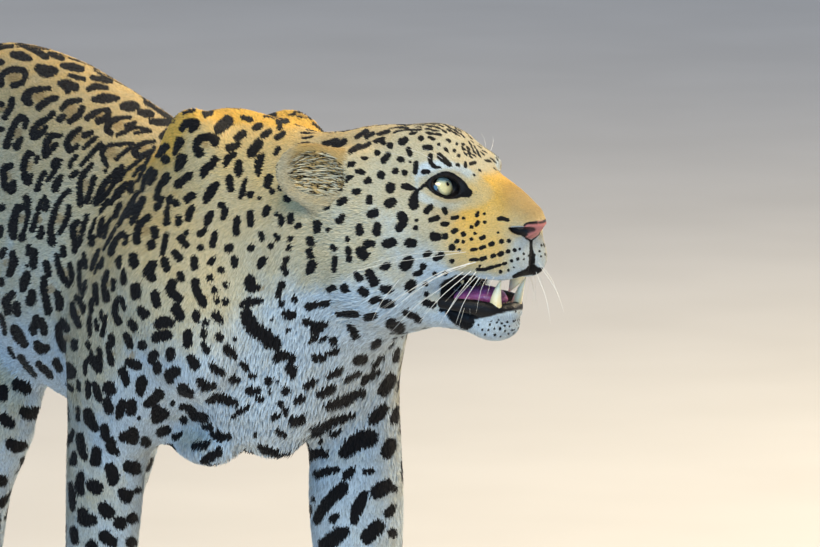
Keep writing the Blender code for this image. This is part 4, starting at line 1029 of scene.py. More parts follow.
CHEST_MARKS = (
    (241, 306, 1.9, 250, 303, 3.5, 262, 302, 2.2),
    (247, 317, 6.3, 252, 327, 7.2, 263, 335, 7.2, 276, 344, 5.7), (269, 346, 3.5), (282, 305, 2.5),
    (286, 315, 3.5, 293, 316, 3.8), (272, 320, 1.6), (288, 331, 1.9),
    (306, 322, 3.2, 315, 324, 2.5, 326, 324, 1.9), (314, 331, 2.2, 321, 330, 2.2),
    (310, 342, 1.3, 316, 338, 1.6), (321, 340, 1.6, 326, 337, 1.6), (333, 341, 3.8),
    (276, 359, 3.5, 284, 355, 4.1, 293, 357, 2.8), (291, 369, 5.7, 293, 376, 2.5),
    (316, 358, 4.1, 323, 358, 2.5), (328, 353, 1.9, 337, 350, 2.2), (356, 360, 4.4, 362, 358, 4.1),
    (372, 346, 2.8, 377, 341, 2.8), (388, 346, 2.2, 390, 342, 1.6), (394, 359, 3.5, 396, 351, 2.2),
    (372, 365, 2.2, 380, 358, 2.2), (328, 376, 2.8, 335, 372, 3.2, 341, 368, 1.9),
    (344, 380, 2.5, 351, 376, 2.8, 358, 373, 1.9), (361, 382, 2.2, 369, 376, 3.2, 377, 372, 1.9),
    (306, 386, 3.5, 314, 382, 2.8), (382, 391, 5.7, 389, 380, 6), (398, 384, 1.6),
    (318, 395, 3.5, 328, 390, 4.4, 332, 387, 2.2), (296, 402, 3.2, 302, 399, 3.2),
    (326, 407, 3.2, 339, 402, 4.7, 351, 396, 5, 362, 393, 3.2), (292, 422, 3.8, 301, 419, 3.5),
    (312, 430, 3.8, 325, 425, 4.7, 337, 419, 4.4, 353, 416, 1.9), (373, 419, 5.7, 382, 410, 5.4),
    (393, 421, 3.8, 396, 410, 2.2), (332, 434, 2.5, 340, 431, 1.6), (321, 442, 2.2),
    (309, 456, 5.4, 320, 454, 4.1, 328, 455, 1.9), (345, 454, 5.7, 356, 443, 8.8, 369, 439, 8.5),
    (386, 454, 5.4, 390, 445, 5.7), (318, 476, 3.8, 328, 472, 3.5, 339, 470, 1.9),
    (347, 476, 4.4, 354, 470, 1.9), (365, 473, 2.2, 371, 472, 2.8),
    (343, 489, 5.4, 332, 499, 5.7, 323, 511, 4.7, 317, 522, 3.2), (377, 493, 6.6, 386, 487, 6.3),
    (364, 495, 3.2, 358, 508, 5.4, 354, 522, 3.5), (388, 514, 4.4, 393, 508, 2.5), (395, 491, 2.2),
    (333, 520, 3.8, 337, 516, 2.2), (367, 538, 6.6, 377, 528, 6.9),
    (325, 546, 6.3, 339, 536, 6.6, 346, 532, 3.5), (392, 534, 4.4), (314, 500, 1.9),
)
LEG_MARKS = (
    (89, 383, 1.7, 89, 390, 2.6, 89, 397, 2), (95, 384, 1.7, 98, 391, 3.5, 100, 400, 2.6),
    (109, 387, 5.2, 111, 390, 5.5), (108, 403, 4.6, 110, 410, 4.1),
    (123, 403, 3.7, 121, 412, 3.7, 119, 417, 2.2), (131, 405, 5, 131, 411, 4.6),
    (89, 413, 4.4, 91, 421, 5.2, 96, 429, 3.1), (105, 428, 3.9, 106, 436, 4.1),
    (111, 441, 3.7, 112, 448, 4.8, 118, 454, 1.7), (124, 437, 4.8, 132, 437, 6.1), (145, 442, 4.8),
    (81, 437, 3.5, 82, 447, 3.9, 85, 458, 2.8), (97, 452, 4.6, 96, 462, 5), (75, 455, 2.2, 74, 463, 3.7),
    (74, 431, 1.1, 71, 441, 2.2), (110, 469, 5, 113, 476, 5.7, 112, 483, 3.5),
    (129, 467, 5.7, 134, 469, 6.5), (82, 476, 3.3, 80, 484, 4.1, 82, 494, 2.8),
    (93, 486, 5.5, 97, 489, 6.3), (122, 493, 4.4, 126, 499, 4.8, 130, 494, 2.6), (137, 491, 2.8),
    (71, 485, 1.7, 73, 497, 2.8, 73, 509, 2.4), (104, 509, 5.7, 108, 513, 6.3), (120, 524, 6.1),
    (132, 519, 5.2), (83, 513, 4.8, 85, 521, 5.5, 93, 521, 4.6), (105, 537, 5.7, 112, 543, 4.8),
    (74, 531, 3.5, 76, 542, 3.3), (92, 546, 5), (131, 543, 5.2), (79, 383, 1.5, 80, 390, 1.7),
    (79, 409, 1.5, 79, 420, 1.3), (67, 385, 1.7, 73, 390, 2), (17, 385, 5.5, 25, 389, 6),
    (2, 390, 4.9, 3, 398, 4.4), (23, 412, 4.4, 29, 415, 6, 36, 411, 3.1), (3, 419, 5.2, 10, 425, 4.4),
    (40, 426, 2.6, 34, 433, 3.5), (10, 444, 4.6, 15, 447, 5.5, 23, 446, 3.3), (20, 461, 1.5, 27, 456, 1.5),
    (1, 481, 5.5),
)
ROSETTE_HEARTS = (
    (14, 78, 7), (40, 97, 7), (71, 112, 8), (98, 115, 6), (118, 126, 6), (18, 134, 6), (40, 129, 5),
    (51, 145, 5), (76, 138, 7), (112, 154, 7), (30, 167, 5), (9, 177, 5), (86, 186, 7), (107, 189, 5),
    (2, 109, 5), (22, 219, 5), (40, 220, 4), (60, 219, 6), (79, 231, 5), (146, 231, 6), (65, 273, 5),
    (52, 289, 5), (82, 277, 3), (79, 312, 3), (68, 338, 5), (109, 284, 3), (7, 263, 4), (133, 355, 3),
    (114, 353, 3), (144, 149, 5), (206, 145, 4), (144, 231, 5), (165, 330, 4), (263, 287, 3),
)
HEAD_GROUPS = (LID_LINES, NOSE_LINES, LIP_LINES, CHIN_FLECKS, WHISKER_ROWS, BROW_MARKS, CHEEK_MARKS)
BODY_GROUPS = (TEMPLE_MARKS, NECK_MARKS, WITHERS_MARKS, BREAST_MARKS, CHEST_MARKS, LEG_MARKS)
RING_GROUPS = (BACK_MARKS, FLANK_MARKS)
# How much wider than drawn the marks of each are, in the camera's frame, as the tufts' edges eat into them
WIDER_HEAD, WIDER_BODY, WIDER_RINGS = 0.4, 1.1, 0.65


# The camera, in the working frame

PICTURE = (820, 547)
CAMERA_TURN, CAMERA_RISE, CAMERA_AWAY, CAMERA_SCALE = 66.0, 7.5, 10.5, 1080.0
EYES_PLACE, EYES_SEEN = (0.283, 0.107, 0.622), (471, 191)


def view_axes():
    """The camera's place, and the ways back, right and up from it; it looks from a little above."""
    turn, rise = math.radians(CAMERA_TURN), math.radians(CAMERA_RISE)
    back = np.array((math.sin(turn) * math.cos(rise), -math.cos(turn) * math.cos(rise), math.sin(rise)))
    right = np.array((math.cos(turn), math.sin(turn), 0))
    up = np.cross(back, right)
    aside, above = EYES_SEEN[0] - PICTURE[0] / 2, PICTURE[1] / 2 - EYES_SEEN[1]
    target = np.array(EYES_PLACE) - (right * aside + up * above) / CAMERA_SCALE
    return target + back * CAMERA_AWAY, back, right, up


def seen(points):
    """Each place in the camera's frame, and how far away it is."""
    eye, back, right, up = view_axes()
    way = points - eye
    far = -(way @ back)
    scale = CAMERA_SCALE * CAMERA_AWAY / far
    return np.stack([PICTURE[0] / 2 + way @ right * scale, PICTURE[1] / 2 - way @ up * scale], 1), far


def cast(surface, groups, wider=0.0):
    """Each stroke's finer stops in the camera's frame, and the places where they meet the surface."""
    eye, back, right, up = view_axes()
    found = []
    for stroke in (stroke for group in groups for stroke in group):
        stops, places = [], []
        for stop in curved(np.reshape(np.array(stroke, float), (-1, 3)) + (0, 0, wider), CURVE_STEPS):
            across, down = stop[0] - PICTURE[0] / 2, PICTURE[1] / 2 - stop[1]
            way = (right * across + up * down) / CAMERA_SCALE - back * CAMERA_AWAY
            hit = surface.ray_cast(Vector(eye), Vector(way).normalized())[0]
            if hit is not None:
                stops.append(stop)
                places.append(hit)
        if stops:
            found.append((np.array(stops), np.array(places)))
    return found


# How squarely the skin faces the camera where a stroke also wraps round it, and where it stops being painted
TURNED_AWAY, EDGE_ON = 0.30, 0.06
SAME_DEPTH = 0.030  # how far behind or before a stroke its paint still reaches, in metres


def stretches(stops):
    """The two ends of each stretch of a stroke; a dot is one stretch of no length."""
    return zip(stops[:-1], stops[1:]) if len(stops) > 1 else ((stops[0], stops[0]),)


def paint_strokes(strokes, points, normals, spot, gap, reach=8.0):
    """Lowers spot to each place's distance from the strokes, 1 at their edges, and gap to it in metres."""
    place, far = seen(points)
    facing = normals @ view_axes()[1]
    order = np.argsort(place[:, 0], kind="stable")
    across = place[order, 0]
    turned_away = np.nonzero(facing < TURNED_AWAY)[0]
    cells = Cells(points[turned_away], MARK_CELL)
    for stops, hits in strokes:
        widest = stops[:, 2].max()
        margin = max(2.2 * widest, reach)
        low, high = stops[:, :2].min(0) - margin, stops[:, :2].max(0) + margin
        first, last = np.searchsorted(across, (low[0], high[0]))
        near = order[first:last]
        near = near[(place[near, 1] > low[1]) & (place[near, 1] < high[1]) & (facing[near] > EDGE_ON)]
        depth = seen(hits)[1]
        near = near[np.abs(far[near] - np.median(depth)) < SAME_DEPTH + np.ptp(depth) / 2]
        best, off = np.full(len(near), NO_MARK), np.full(len(near), 1.0)
        for start, end in stretches(stops):
            along = end[:2] - start[:2]
            t = np.clip((place[near] - start[:2]) @ along / max(along @ along, 1e-6), 0, 1)
            away = np.linalg.norm(place[near] - start[:2] - t[:, None] * along, axis=1)
            half = np.maximum(start[2] + t * (end[2] - start[2]), 0.3)
            best = np.minimum(best, away / half)
            off = np.minimum(off, (away - half) / CAMERA_SCALE)
        spot[near] = np.minimum(spot[near], best)
        gap[near] = np.minimum(gap[near], off)
        for stop, hit in zip(stops, hits):
            half = stop[2] / CAMERA_SCALE
            beyond = turned_away[cells.near(hit, 2.2 * half)]
            away = np.linalg.norm(points[beyond] - hit, axis=1)
            spot[beyond] = np.minimum(spot[beyond], away / half)
            gap[beyond] = np.minimum(gap[beyond], away - half)


def folded(points, normals):
    """The left half of the head laid over its right half."""
    left = ((points - HEAD_PLACE) @ HEAD)[:, 1] > 0
    swap = np.where(left, 2.0, 0.0)[:, None]
    side = HEAD[:, 1]
    places = points - swap * ((points - HEAD_PLACE) @ side)[:, None] * side
    return places, normals - swap * (normals @ side)[:, None] * side


def surface_of(mesh):
    return BVHTree.FromPolygons(corners_of(mesh)[0].tolist(), triangles_of(mesh).tolist())


MARKED_HEAD = ((10, 0, -50), (110, 90, 110))  # middle and reach of what the head's strokes are painted on


class Drawing:
    """The drawn marks, cast onto the skin once and painted on any places."""

    def __init__(self, surface):
        self.head = cast(surface, HEAD_GROUPS, WIDER_HEAD)
        self.body = cast(surface, BODY_GROUPS, WIDER_BODY) + cast(surface, RING_GROUPS, WIDER_RINGS)
        self.hearts = cast(surface, (ROSETTE_HEARTS,))

    def paint(self, points, normals, reach=8.0):
        """Distance from the marks in half widths and in metres, and how far inside a rosette."""
        spot, gap, heart = (np.full(len(points), value) for value in (NO_MARK, 1.0, NO_MARK))
        near_head = np.all(np.abs(to_head(points) - MARKED_HEAD[0]) < MARKED_HEAD[1], axis=1)
        places, turned_normals = folded(points[near_head], normals[near_head])
        own_spot, own_gap = spot[near_head], gap[near_head]
        paint_strokes(self.head, places, turned_normals, own_spot, own_gap, reach)
        spot[near_head], gap[near_head] = own_spot, own_gap
        paint_strokes(self.body, points, normals, spot, gap, reach)
        paint_strokes(self.hearts, points, normals, heart, np.full(len(points), 1.0))
        return spot, gap, step(heart, 1.25, 0.65)


def seeds(points, spacing, taken, dice):
    """Numbers of points that lie about the spacing apart, packed outwards from one another."""
    cells = Cells(points, 0.015)
    blocked = taken.copy()
    found = []
    order = dice.permutation(len(points))
    for start in order:
        if blocked[start]:
            continue
        front = [start]
        while front:
            now = front.pop(dice.integers(len(front)))
            if blocked[now]:
                continue
            found.append(now)
            reach = spacing[now]
            near = cells.near(points[now], 1.25 * reach)
            away = np.linalg.norm(points[near] - points[now], axis=1)
            blocked[near[away < reach]] = True
            ring = near[(away >= reach) & ~blocked[near]]
            if len(ring):
                front.extend(dice.choice(ring, min(6, len(ring)), replace=False).tolist())
    return np.array(found)


# Bare places: nose pad, lips, lid rims and the inside of the mouth


def lid_distance(points, side):
    """1 on the edge of the lids' opening, more outside it; large behind the eye."""
    local = (points - eye_centre(side)) @ eye_axes(side) / MM
    out = np.hypot(local[:, 0] / LID_OPENING[0], local[:, 1] / LID_OPENING[1])
    return np.where(local[:, 2] > 2, out, 9.0)


# How low the black of the lower lip reaches, by the place forward; and the box of the head with bare skin
LOWER_LIP_EDGE = ((-20, -6, 4, 20, 30, 42), (-110, -119, -127, -124, -123, -120))
BARE_BOX = ((-60, -80, -170), (110, 80, 70))


def bare_masks(points):
    """Bare skin, how pink it is, and how deep inside the mouth it lies, where painted shade darkens it."""
    head = to_head(points)
    whole = Flesh()
    whole_head(whole)
    near = np.all((head > BARE_BOX[0]) & (head < BARE_BOX[1]), axis=1)
    bare, pink, deep = np.zeros(len(points)), np.zeros(len(points)), np.zeros(len(points))
    mine, place = points[near], head[near]
    inside = np.maximum(-whole.distance(mine) / MM - 1.2, 0)
    gape = mass_distance(head_limb(*GAPE), mine, 0.03) / MM
    in_mouth = step(gape, 2.5, 1.0) * step(inside, 1.5, 3.5) * step(place[:, 0], -70, -50)
    back = step(place[:, 0], 32, -4)
    lip = step(gape - 1.6 - 4.0 * back, 0.6, -0.6) * step(place[:, 0], -26, -16)
    # the lower lip is black down to a line that sinks towards the corner of the mouth
    edge = np.interp(place[:, 0], *LOWER_LIP_EDGE)
    lower = step(place[:, 2] - edge, -0.7, 0.7) * step(place[:, 2], -99, -104) * step(gape, 24, 20)
    lip = np.maximum(lip, lower * step(place[:, 0], -22, -14))
    pad = np.linalg.norm((place - (82, 0, -46)) / (17, 19.0, 13.5), axis=1)
    brim = place[:, 2] + 37.5 + 0.20 * np.maximum(82 - place[:, 0], 0)
    pad = step(pad, 1.05, 0.97) * step(place[:, 0], 61, 65) * step(brim, 0.6, -0.6)
    openings = np.minimum(mass_distance(nostril(1), mine), mass_distance(nostril(-1), mine)) / MM
    # the nostrils' openings get no pink and are painted black: painted shade inside them
    hole = step(openings, 1.6, 0.5)
    eye = np.minimum(lid_distance(mine, 1), lid_distance(mine, -1))
    lid = step(eye, 1.22, 1.12)
    bare[near] = np.maximum.reduce([in_mouth, lip, pad, hole, lid])
    gums = step(inside, 3.0, 7.0) * in_mouth
    pink[near] = np.maximum(gums, pad * (1 - hole))
    # the deeper inside the mouth, the more painted shade darkens the flesh
    deep[near] = in_mouth * step(inside, 8, 26)
    return bare, pink, deep


# The skin piece


def put(mesh, name, values):
    """Stores one number or one vector for each corner of a mesh."""
    kind, slot = ("FLOAT", "value") if values.ndim == 1 else ("FLOAT_VECTOR", "vector")
    layer = mesh.attributes.new(name, kind, "POINT")
    layer.data.foreach_set(slot, np.ascontiguousarray(values, np.float32).ravel())


def link(piece):
    bpy.context.scene.collection.objects.link(piece)
    return piece


def new_piece(name, mesh, slot=None, nodes=()):
    """A finished piece in the CAD's place, riding on the one body."""
    piece = link(bpy.data.objects.new(name, mesh))
    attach(piece, "root")
    if nodes:
        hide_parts(*nodes)
    return piece


def corners_of(mesh):
    """The places and normals of a mesh's corners."""
    found = []
    for name in ("co", "normal"):
        values = np.empty(len(mesh.vertices) * 3, np.float32)
        mesh.vertices.foreach_get(name, values)
        found.append(values.reshape(-1, 3).astype(float))
    return found


def triangles_of(mesh):
    triangles = np.empty(len(mesh.polygons) * 3, np.int32)
    mesh.polygons.foreach_get("vertices", triangles)
    return triangles.reshape(-1, 3)


def unwrap(mesh):
    """An unwrap of the skin's own shape, named for the bake."""
    scratch = link(bpy.data.objects.new("Unwrap", mesh))
    bpy.context.view_layer.objects.active = scratch
    scratch.select_set(True)
    mesh.uv_layers.new(name="OFBake")
    bpy.ops.object.mode_set(mode="EDIT")
    bpy.ops.mesh.select_all(action="SELECT")
    bpy.ops.uv.smart_project(angle_limit=1.15, island_margin=0.0008)
    bpy.ops.object.mode_set(mode="OBJECT")
    bpy.data.objects.remove(scratch)


def skin_mesh():
    form = skin_form()
    bmesh.ops.triangulate(form, faces=form.faces)
    mesh = bpy.data.meshes.new("leopard_skin")
    form.to_mesh(mesh)
    form.free()
    mesh.shade_smooth()
    unwrap(mesh)
    return mesh


def ear_parts(points, normals):
    """Inside of the ear's cup, its rim, the rim's golden front, its black back, and the pale spot there."""
    cup, rim, gold, back, pale = (np.zeros(len(points)) for _ in range(5))
    for side in (1, -1):
        root, tip, axes = ear_axes(side)
        middle = (root + tip) / 2
        out, across, up = ((points - middle) @ axes / MM).T
        shell = np.hypot(np.hypot(out / 19, across / 36), up / 42)
        near = step(shell, 1.12, 1.0) * step(up, -38, -22)
        hollow = np.hypot((across + side * 4) / 21, (up + 6) / 27)
        inner = mass_distance(ear_hollow(middle, axes), points) / MM
        mine = step(inner, 6.0, 4.0) * step(hollow, 1.05, 0.92) * near
        behind = step(-(normals @ axes[:, 0]), 0.15, 0.45) * near * (1 - mine)
        cup = np.maximum(cup, mine)
        rim = np.maximum(rim, near * (1 - mine) * (1 - behind))
        gold = np.maximum(gold, near * step(-side * across, 0, 14) * step(up, 34, 14))
        back = np.maximum(back, behind)
        pale = np.maximum(pale, behind * step(np.hypot(across / 17, (up - 6) / 13), 1.1, 0.85))
    return cup, rim, gold, back, pale


class Roots:
    """Places on the skin where tufts grow, drawn with a fixed seed."""

    def __init__(self, mesh, density, dice):
        points, normals = corners_of(mesh)
        triangles = triangles_of(mesh)
        unwrapped = np.empty(len(mesh.loops) * 2, np.float32)
        mesh.uv_layers["OFBake"].uv.foreach_get("vector", unwrapped)
        unwrapped = unwrapped.reshape(-1, 3, 2)
        a, b, c = (points[triangles[:, i]] for i in range(3))
        area = np.linalg.norm(np.cross(b - a, c - a), axis=1) / 2
        wanted = area * density[triangles].mean(1)
        reached = np.cumsum(wanted)
        count = int(reached[-1])
        along = (np.arange(count) + dice.random(count)) * reached[-1] / count
        face = np.searchsorted(reached, along).clip(0, len(triangles) - 1)
        first, second = dice.random(count), dice.random(count)
        fold = first + second > 1
        first[fold], second[fold] = 1 - first[fold], 1 - second[fold]
        share = np.stack([1 - first - second, first, second], 1)
        self.corners, self.share = triangles[face], share
        self.places = self.mix(points)
        self.normals = unit(self.mix(normals))
        self.unwrapped = (unwrapped[face] * share[..., None]).sum(1)

    def mix(self, values):
        share = self.share if values.ndim == 1 else self.share[..., None]
        return (values[self.corners] * share).sum(1)


# Node helpers


def node(tree, kind, inputs=None, **settings):
    """A node with its settings and inputs; an input is a value or another node's socket."""
    made = tree.nodes.new(kind)
    for name, value in settings.items():
        setattr(made, name, value)
    for name, value in (inputs or {}).items():
        socket = made.inputs[name]
        if isinstance(value, bpy.types.NodeSocket):
            tree.links.new(value, socket)
        else:
            socket.default_value = value
    return made


def sums(tree, operation, *values):
    """A Math node's result, in a shader or a geometry tree."""
    return node(tree, "ShaderNodeMath", dict(enumerate(values)), operation=operation).outputs[0]


def ramp_between(tree, value, start, end):
    """0 at start and 1 at end, with a soft run between them."""
    inputs = {"Value": value, "From Min": start, "From Max": end}
    return node(tree, "ShaderNodeMapRange", inputs, interpolation_type="SMOOTHSTEP").outputs[0]


def blend_colour(tree, share, first, second):
    """From the first colour to the second, each a socket or plain numbers."""
    made = node(tree, "ShaderNodeMix", {0: share}, data_type="RGBA")
    for place, colour in ((6, first), (7, second)):
        if isinstance(colour, bpy.types.NodeSocket):
            tree.links.new(colour, made.inputs[place])
        else:
            made.inputs[place].default_value = (*colour, 1)
    return made.outputs[2]


def ramp(tree, value, *stops):
    made = node(tree, "ShaderNodeValToRGB", {0: value})
    scale = made.color_ramp
    while len(scale.elements) < len(stops):
        scale.elements.new(0.5)
    for element, (place, colour) in zip(scale.elements, stops):
        element.position = place
        element.color = (*colour, 1)
    return made.outputs[0]


def noise(tree, place, scale, detail=2.0):
    return node(tree, "ShaderNodeTexNoise", {"Vector": place, "Scale": scale, "Detail": detail}).outputs[0]


def attribute(tree, name, output="Fac"):
    return node(tree, "ShaderNodeAttribute", attribute_name=name).outputs[output]


def scaled(tree, vector, share):
    """A vector, or a colour, times one number."""
    return node(tree, "ShaderNodeVectorMath", {0: vector, "Scale": share}, operation="SCALE").outputs[0]


def object_place(tree):
    return node(tree, "ShaderNodeTexCoord").outputs["Object"]


def new_tree(name, family, inputs, output):
    """A node tree with named inputs (label, kind of socket, value) and one output, and their sockets."""
    tree = bpy.data.node_groups.new(name, family)
    for label, kind, value in inputs:
        socket = tree.interface.new_socket(label, in_out="INPUT", socket_type=f"NodeSocket{kind}")
        if value is not None:
            socket.default_value = value
    tree.interface.new_socket(output[0], in_out="OUTPUT", socket_type=f"NodeSocket{output[1]}")
    return tree, node(tree, "NodeGroupInput").outputs, node(tree, "NodeGroupOutput").inputs[0]


def new_material(name, **uniform):
    """A material and its shader, with the values that are the same all over it."""
    material = bpy.data.materials.new(name)
    material.use_nodes = True
    shader = material.node_tree.nodes["Principled BSDF"]
    for label, value in uniform.items():
        shader.inputs[label.replace("_", " ")].default_value = value
    return material, material.node_tree, shader


def wire(tree, shader, colour, roughness=None, height=None, strength=0.0, depth=0.0):
    """Feeds a shader what changes over the surface; the height's bump is as deep as depth, in metres."""
    tree.links.new(colour, shader.inputs["Base Color"])
    if roughness is not None:
        tree.links.new(roughness, shader.inputs["Roughness"])
    if height is not None:
        bump = node(tree, "ShaderNodeBump", {"Strength": strength, "Distance": depth, "Height": height})
        tree.links.new(bump.outputs[0], shader.inputs["Normal"])


# Materials

# white fur tinted blue: painted cool shade on the pale parts of the coat
COOL_SHADED_WHITE = (0.65, 0.74, 0.80)
CREAM = (0.64, 0.58, 0.42)
TAN = (0.73, 0.54, 0.25)
GOLD = (0.88, 0.53, 0.10)
HEART = (0.40, 0.25, 0.09)
BLACK = (0.010, 0.009, 0.010)
NOSE_PINK = (0.46, 0.17, 0.16)
NOSE_FRECKLES = (0.05, 0.03, 0.03)
# black of the lips and lid rims, and painted shade in the nostrils
LIP_BLACK_AND_NOSTRIL_SHADE = (0.006, 0.005, 0.006)
# painted shade deep inside the mouth
MOUTH_SHADE = (0.030, 0.010, 0.022)
# The iris from below to its top, which is in painted bluish shade under the upper lid, its lines, the ring
# round it, the ring round the pupil, and the pupil
IRIS_BELOW, IRIS_LID_SHADE, IRIS_LINES = (0.72, 0.66, 0.36), (0.52, 0.66, 0.60), (0.34, 0.33, 0.16)
IRIS_RIM, IRIS_BROWN, PUPIL = (0.20, 0.20, 0.12), (0.46, 0.36, 0.12), (0.008, 0.007, 0.007)
CLAW_DARK, CLAW_PALE = (0.34, 0.28, 0.21), (0.62, 0.55, 0.44)
TOOTH_ROOT, TOOTH_MIDDLE, TOOTH_TIP = (0.60, 0.36, 0.11), (0.82, 0.66, 0.34), (0.90, 0.82, 0.58)
TONGUE_DARK, TONGUE_PALE, TONGUE_BUDS = (0.30, 0.03, 0.15), (0.62, 0.10, 0.34), (0.74, 0.30, 0.48)
WHISKER_DULL, WHISKER_WHITE = (0.72, 0.68, 0.60), (0.90, 0.89, 0.86)


def coat_markings():
    """Ground colour and marks at a place of the coat."""
    inputs = [(label, "Float", None) for label in ("Spot", "Heart", "Warmth", "Tone")]
    inputs.append(("Place", "Vector", None))
    tree, given, out = new_tree("coat_markings", "ShaderNodeTree", inputs, ("Colour", "Color"))
    broad = noise(tree, given["Place"], 38.0, 3.0)
    fine = noise(tree, given["Place"], 330.0)
    warm = sums(tree, "MULTIPLY_ADD", broad, 0.36, sums(tree, "SUBTRACT", given["Warmth"], 0.18))
    warm = sums(tree, "MULTIPLY_ADD", fine, 0.16, sums(tree, "SUBTRACT", warm, 0.08))
    # the palest ground is white fur with painted blue shade
    ground = ramp(tree, warm, (0.0, COOL_SHADED_WHITE), (0.25, CREAM), (0.62, TAN), (0.95, GOLD))
    ground = blend_colour(tree, sums(tree, "MULTIPLY", given["Heart"], 0.62), ground, HEART)
    edge = sums(tree, "MULTIPLY_ADD", fine, 0.50, sums(tree, "SUBTRACT", given["Spot"], 0.25))
    edge = sums(tree, "MULTIPLY_ADD", given["Tone"], 0.16, sums(tree, "SUBTRACT", edge, 0.08))
    dark = ramp_between(tree, edge, 1.06, 0.90)
    colour = blend_colour(tree, dark, ground, BLACK)
    light = sums(tree, "MULTIPLY_ADD", given["Tone"], 0.34, 0.80)
    tree.links.new(scaled(tree, colour, light), out)
    return tree


def skin_material(markings):
    material, tree, shader = new_material("leopard_skin", Specular_IOR_Level=0.2)
    place = object_place(tree)
    marks = node(tree, "ShaderNodeGroup", {
        "Spot": attribute(tree, "spot"), "Heart": attribute(tree, "heart"),
        "Warmth": attribute(tree, "warmth"), "Tone": 0.30, "Place": place,
    }, node_tree=markings).outputs
    bare, pink, deep = (attribute(tree, name) for name in ("bare", "pink", "deep"))
    speckle = noise(tree, place, 260.0, 3.0)
    mottle = ramp_between(tree, speckle, 0.56, 0.66)
    # deep in the mouth the pink flesh gives way to painted shade
    mucosa_and_shade = blend_colour(tree, deep, NOSE_PINK, MOUTH_SHADE)
    mucosa_and_shade = blend_colour(tree, sums(tree, "MULTIPLY", mottle, 0.35), mucosa_and_shade, NOSE_FRECKLES)
    flesh = blend_colour(tree, pink, LIP_BLACK_AND_NOSTRIL_SHADE, mucosa_and_shade)
    colour = blend_colour(tree, bare, marks["Colour"], flesh)
    gloss = sums(tree, "MULTIPLY_ADD", bare, -0.36, 0.78)
    grain = noise(tree, place, 900.0)
    cells = node(tree, "ShaderNodeTexVoronoi", {"Vector": place, "Scale": 700.0}).outputs[0]
    height = sums(tree, "ADD", sums(tree, "MULTIPLY", grain, 0.5), sums(tree, "MULTIPLY", cells, bare))
    wire(tree, shader, colour, gloss, height, 0.5, 0.0006)
    return material


def coat_material(markings):
    material, tree, shader = new_material(
        "leopard_coat", Specular_IOR_Level=0.12, Sheen_Weight=0.05, Sheen_Roughness=0.4,
    )
    patch = node(tree, "ShaderNodeSeparateXYZ", {0: attribute(tree, "patch", "Vector")}).outputs
    along = sums(tree, "ADD", patch["Y"], 0.5)
    change = sums(tree, "SUBTRACT", attribute(tree, "spot_tip"), attribute(tree, "spot"))
    marks = node(tree, "ShaderNodeGroup", {
        "Spot": sums(tree, "MULTIPLY_ADD", change, along, attribute(tree, "spot")),
        "Heart": attribute(tree, "heart"), "Warmth": attribute(tree, "warmth"),
        "Tone": attribute(tree, "tone"), "Place": object_place(tree),
    }, node_tree=markings).outputs
    # each blade is darker towards its root: painted shade among the hairs
    up = ramp_between(tree, patch["Y"], -0.5, 0.4)
    light = sums(tree, "MULTIPLY_ADD", up, 0.42, 0.66)
    rough = sums(tree, "MULTIPLY_ADD", attribute(tree, "tone"), 0.2, 0.5)
    hairs = sums(tree, "SINE", sums(tree, "MULTIPLY", patch["X"], 26.0))
    wire(tree, shader, scaled(tree, marks["Colour"], light), rough, hairs, 0.35, 0.0002)
    return material


# The coat: blades instanced on the roots by a node tree


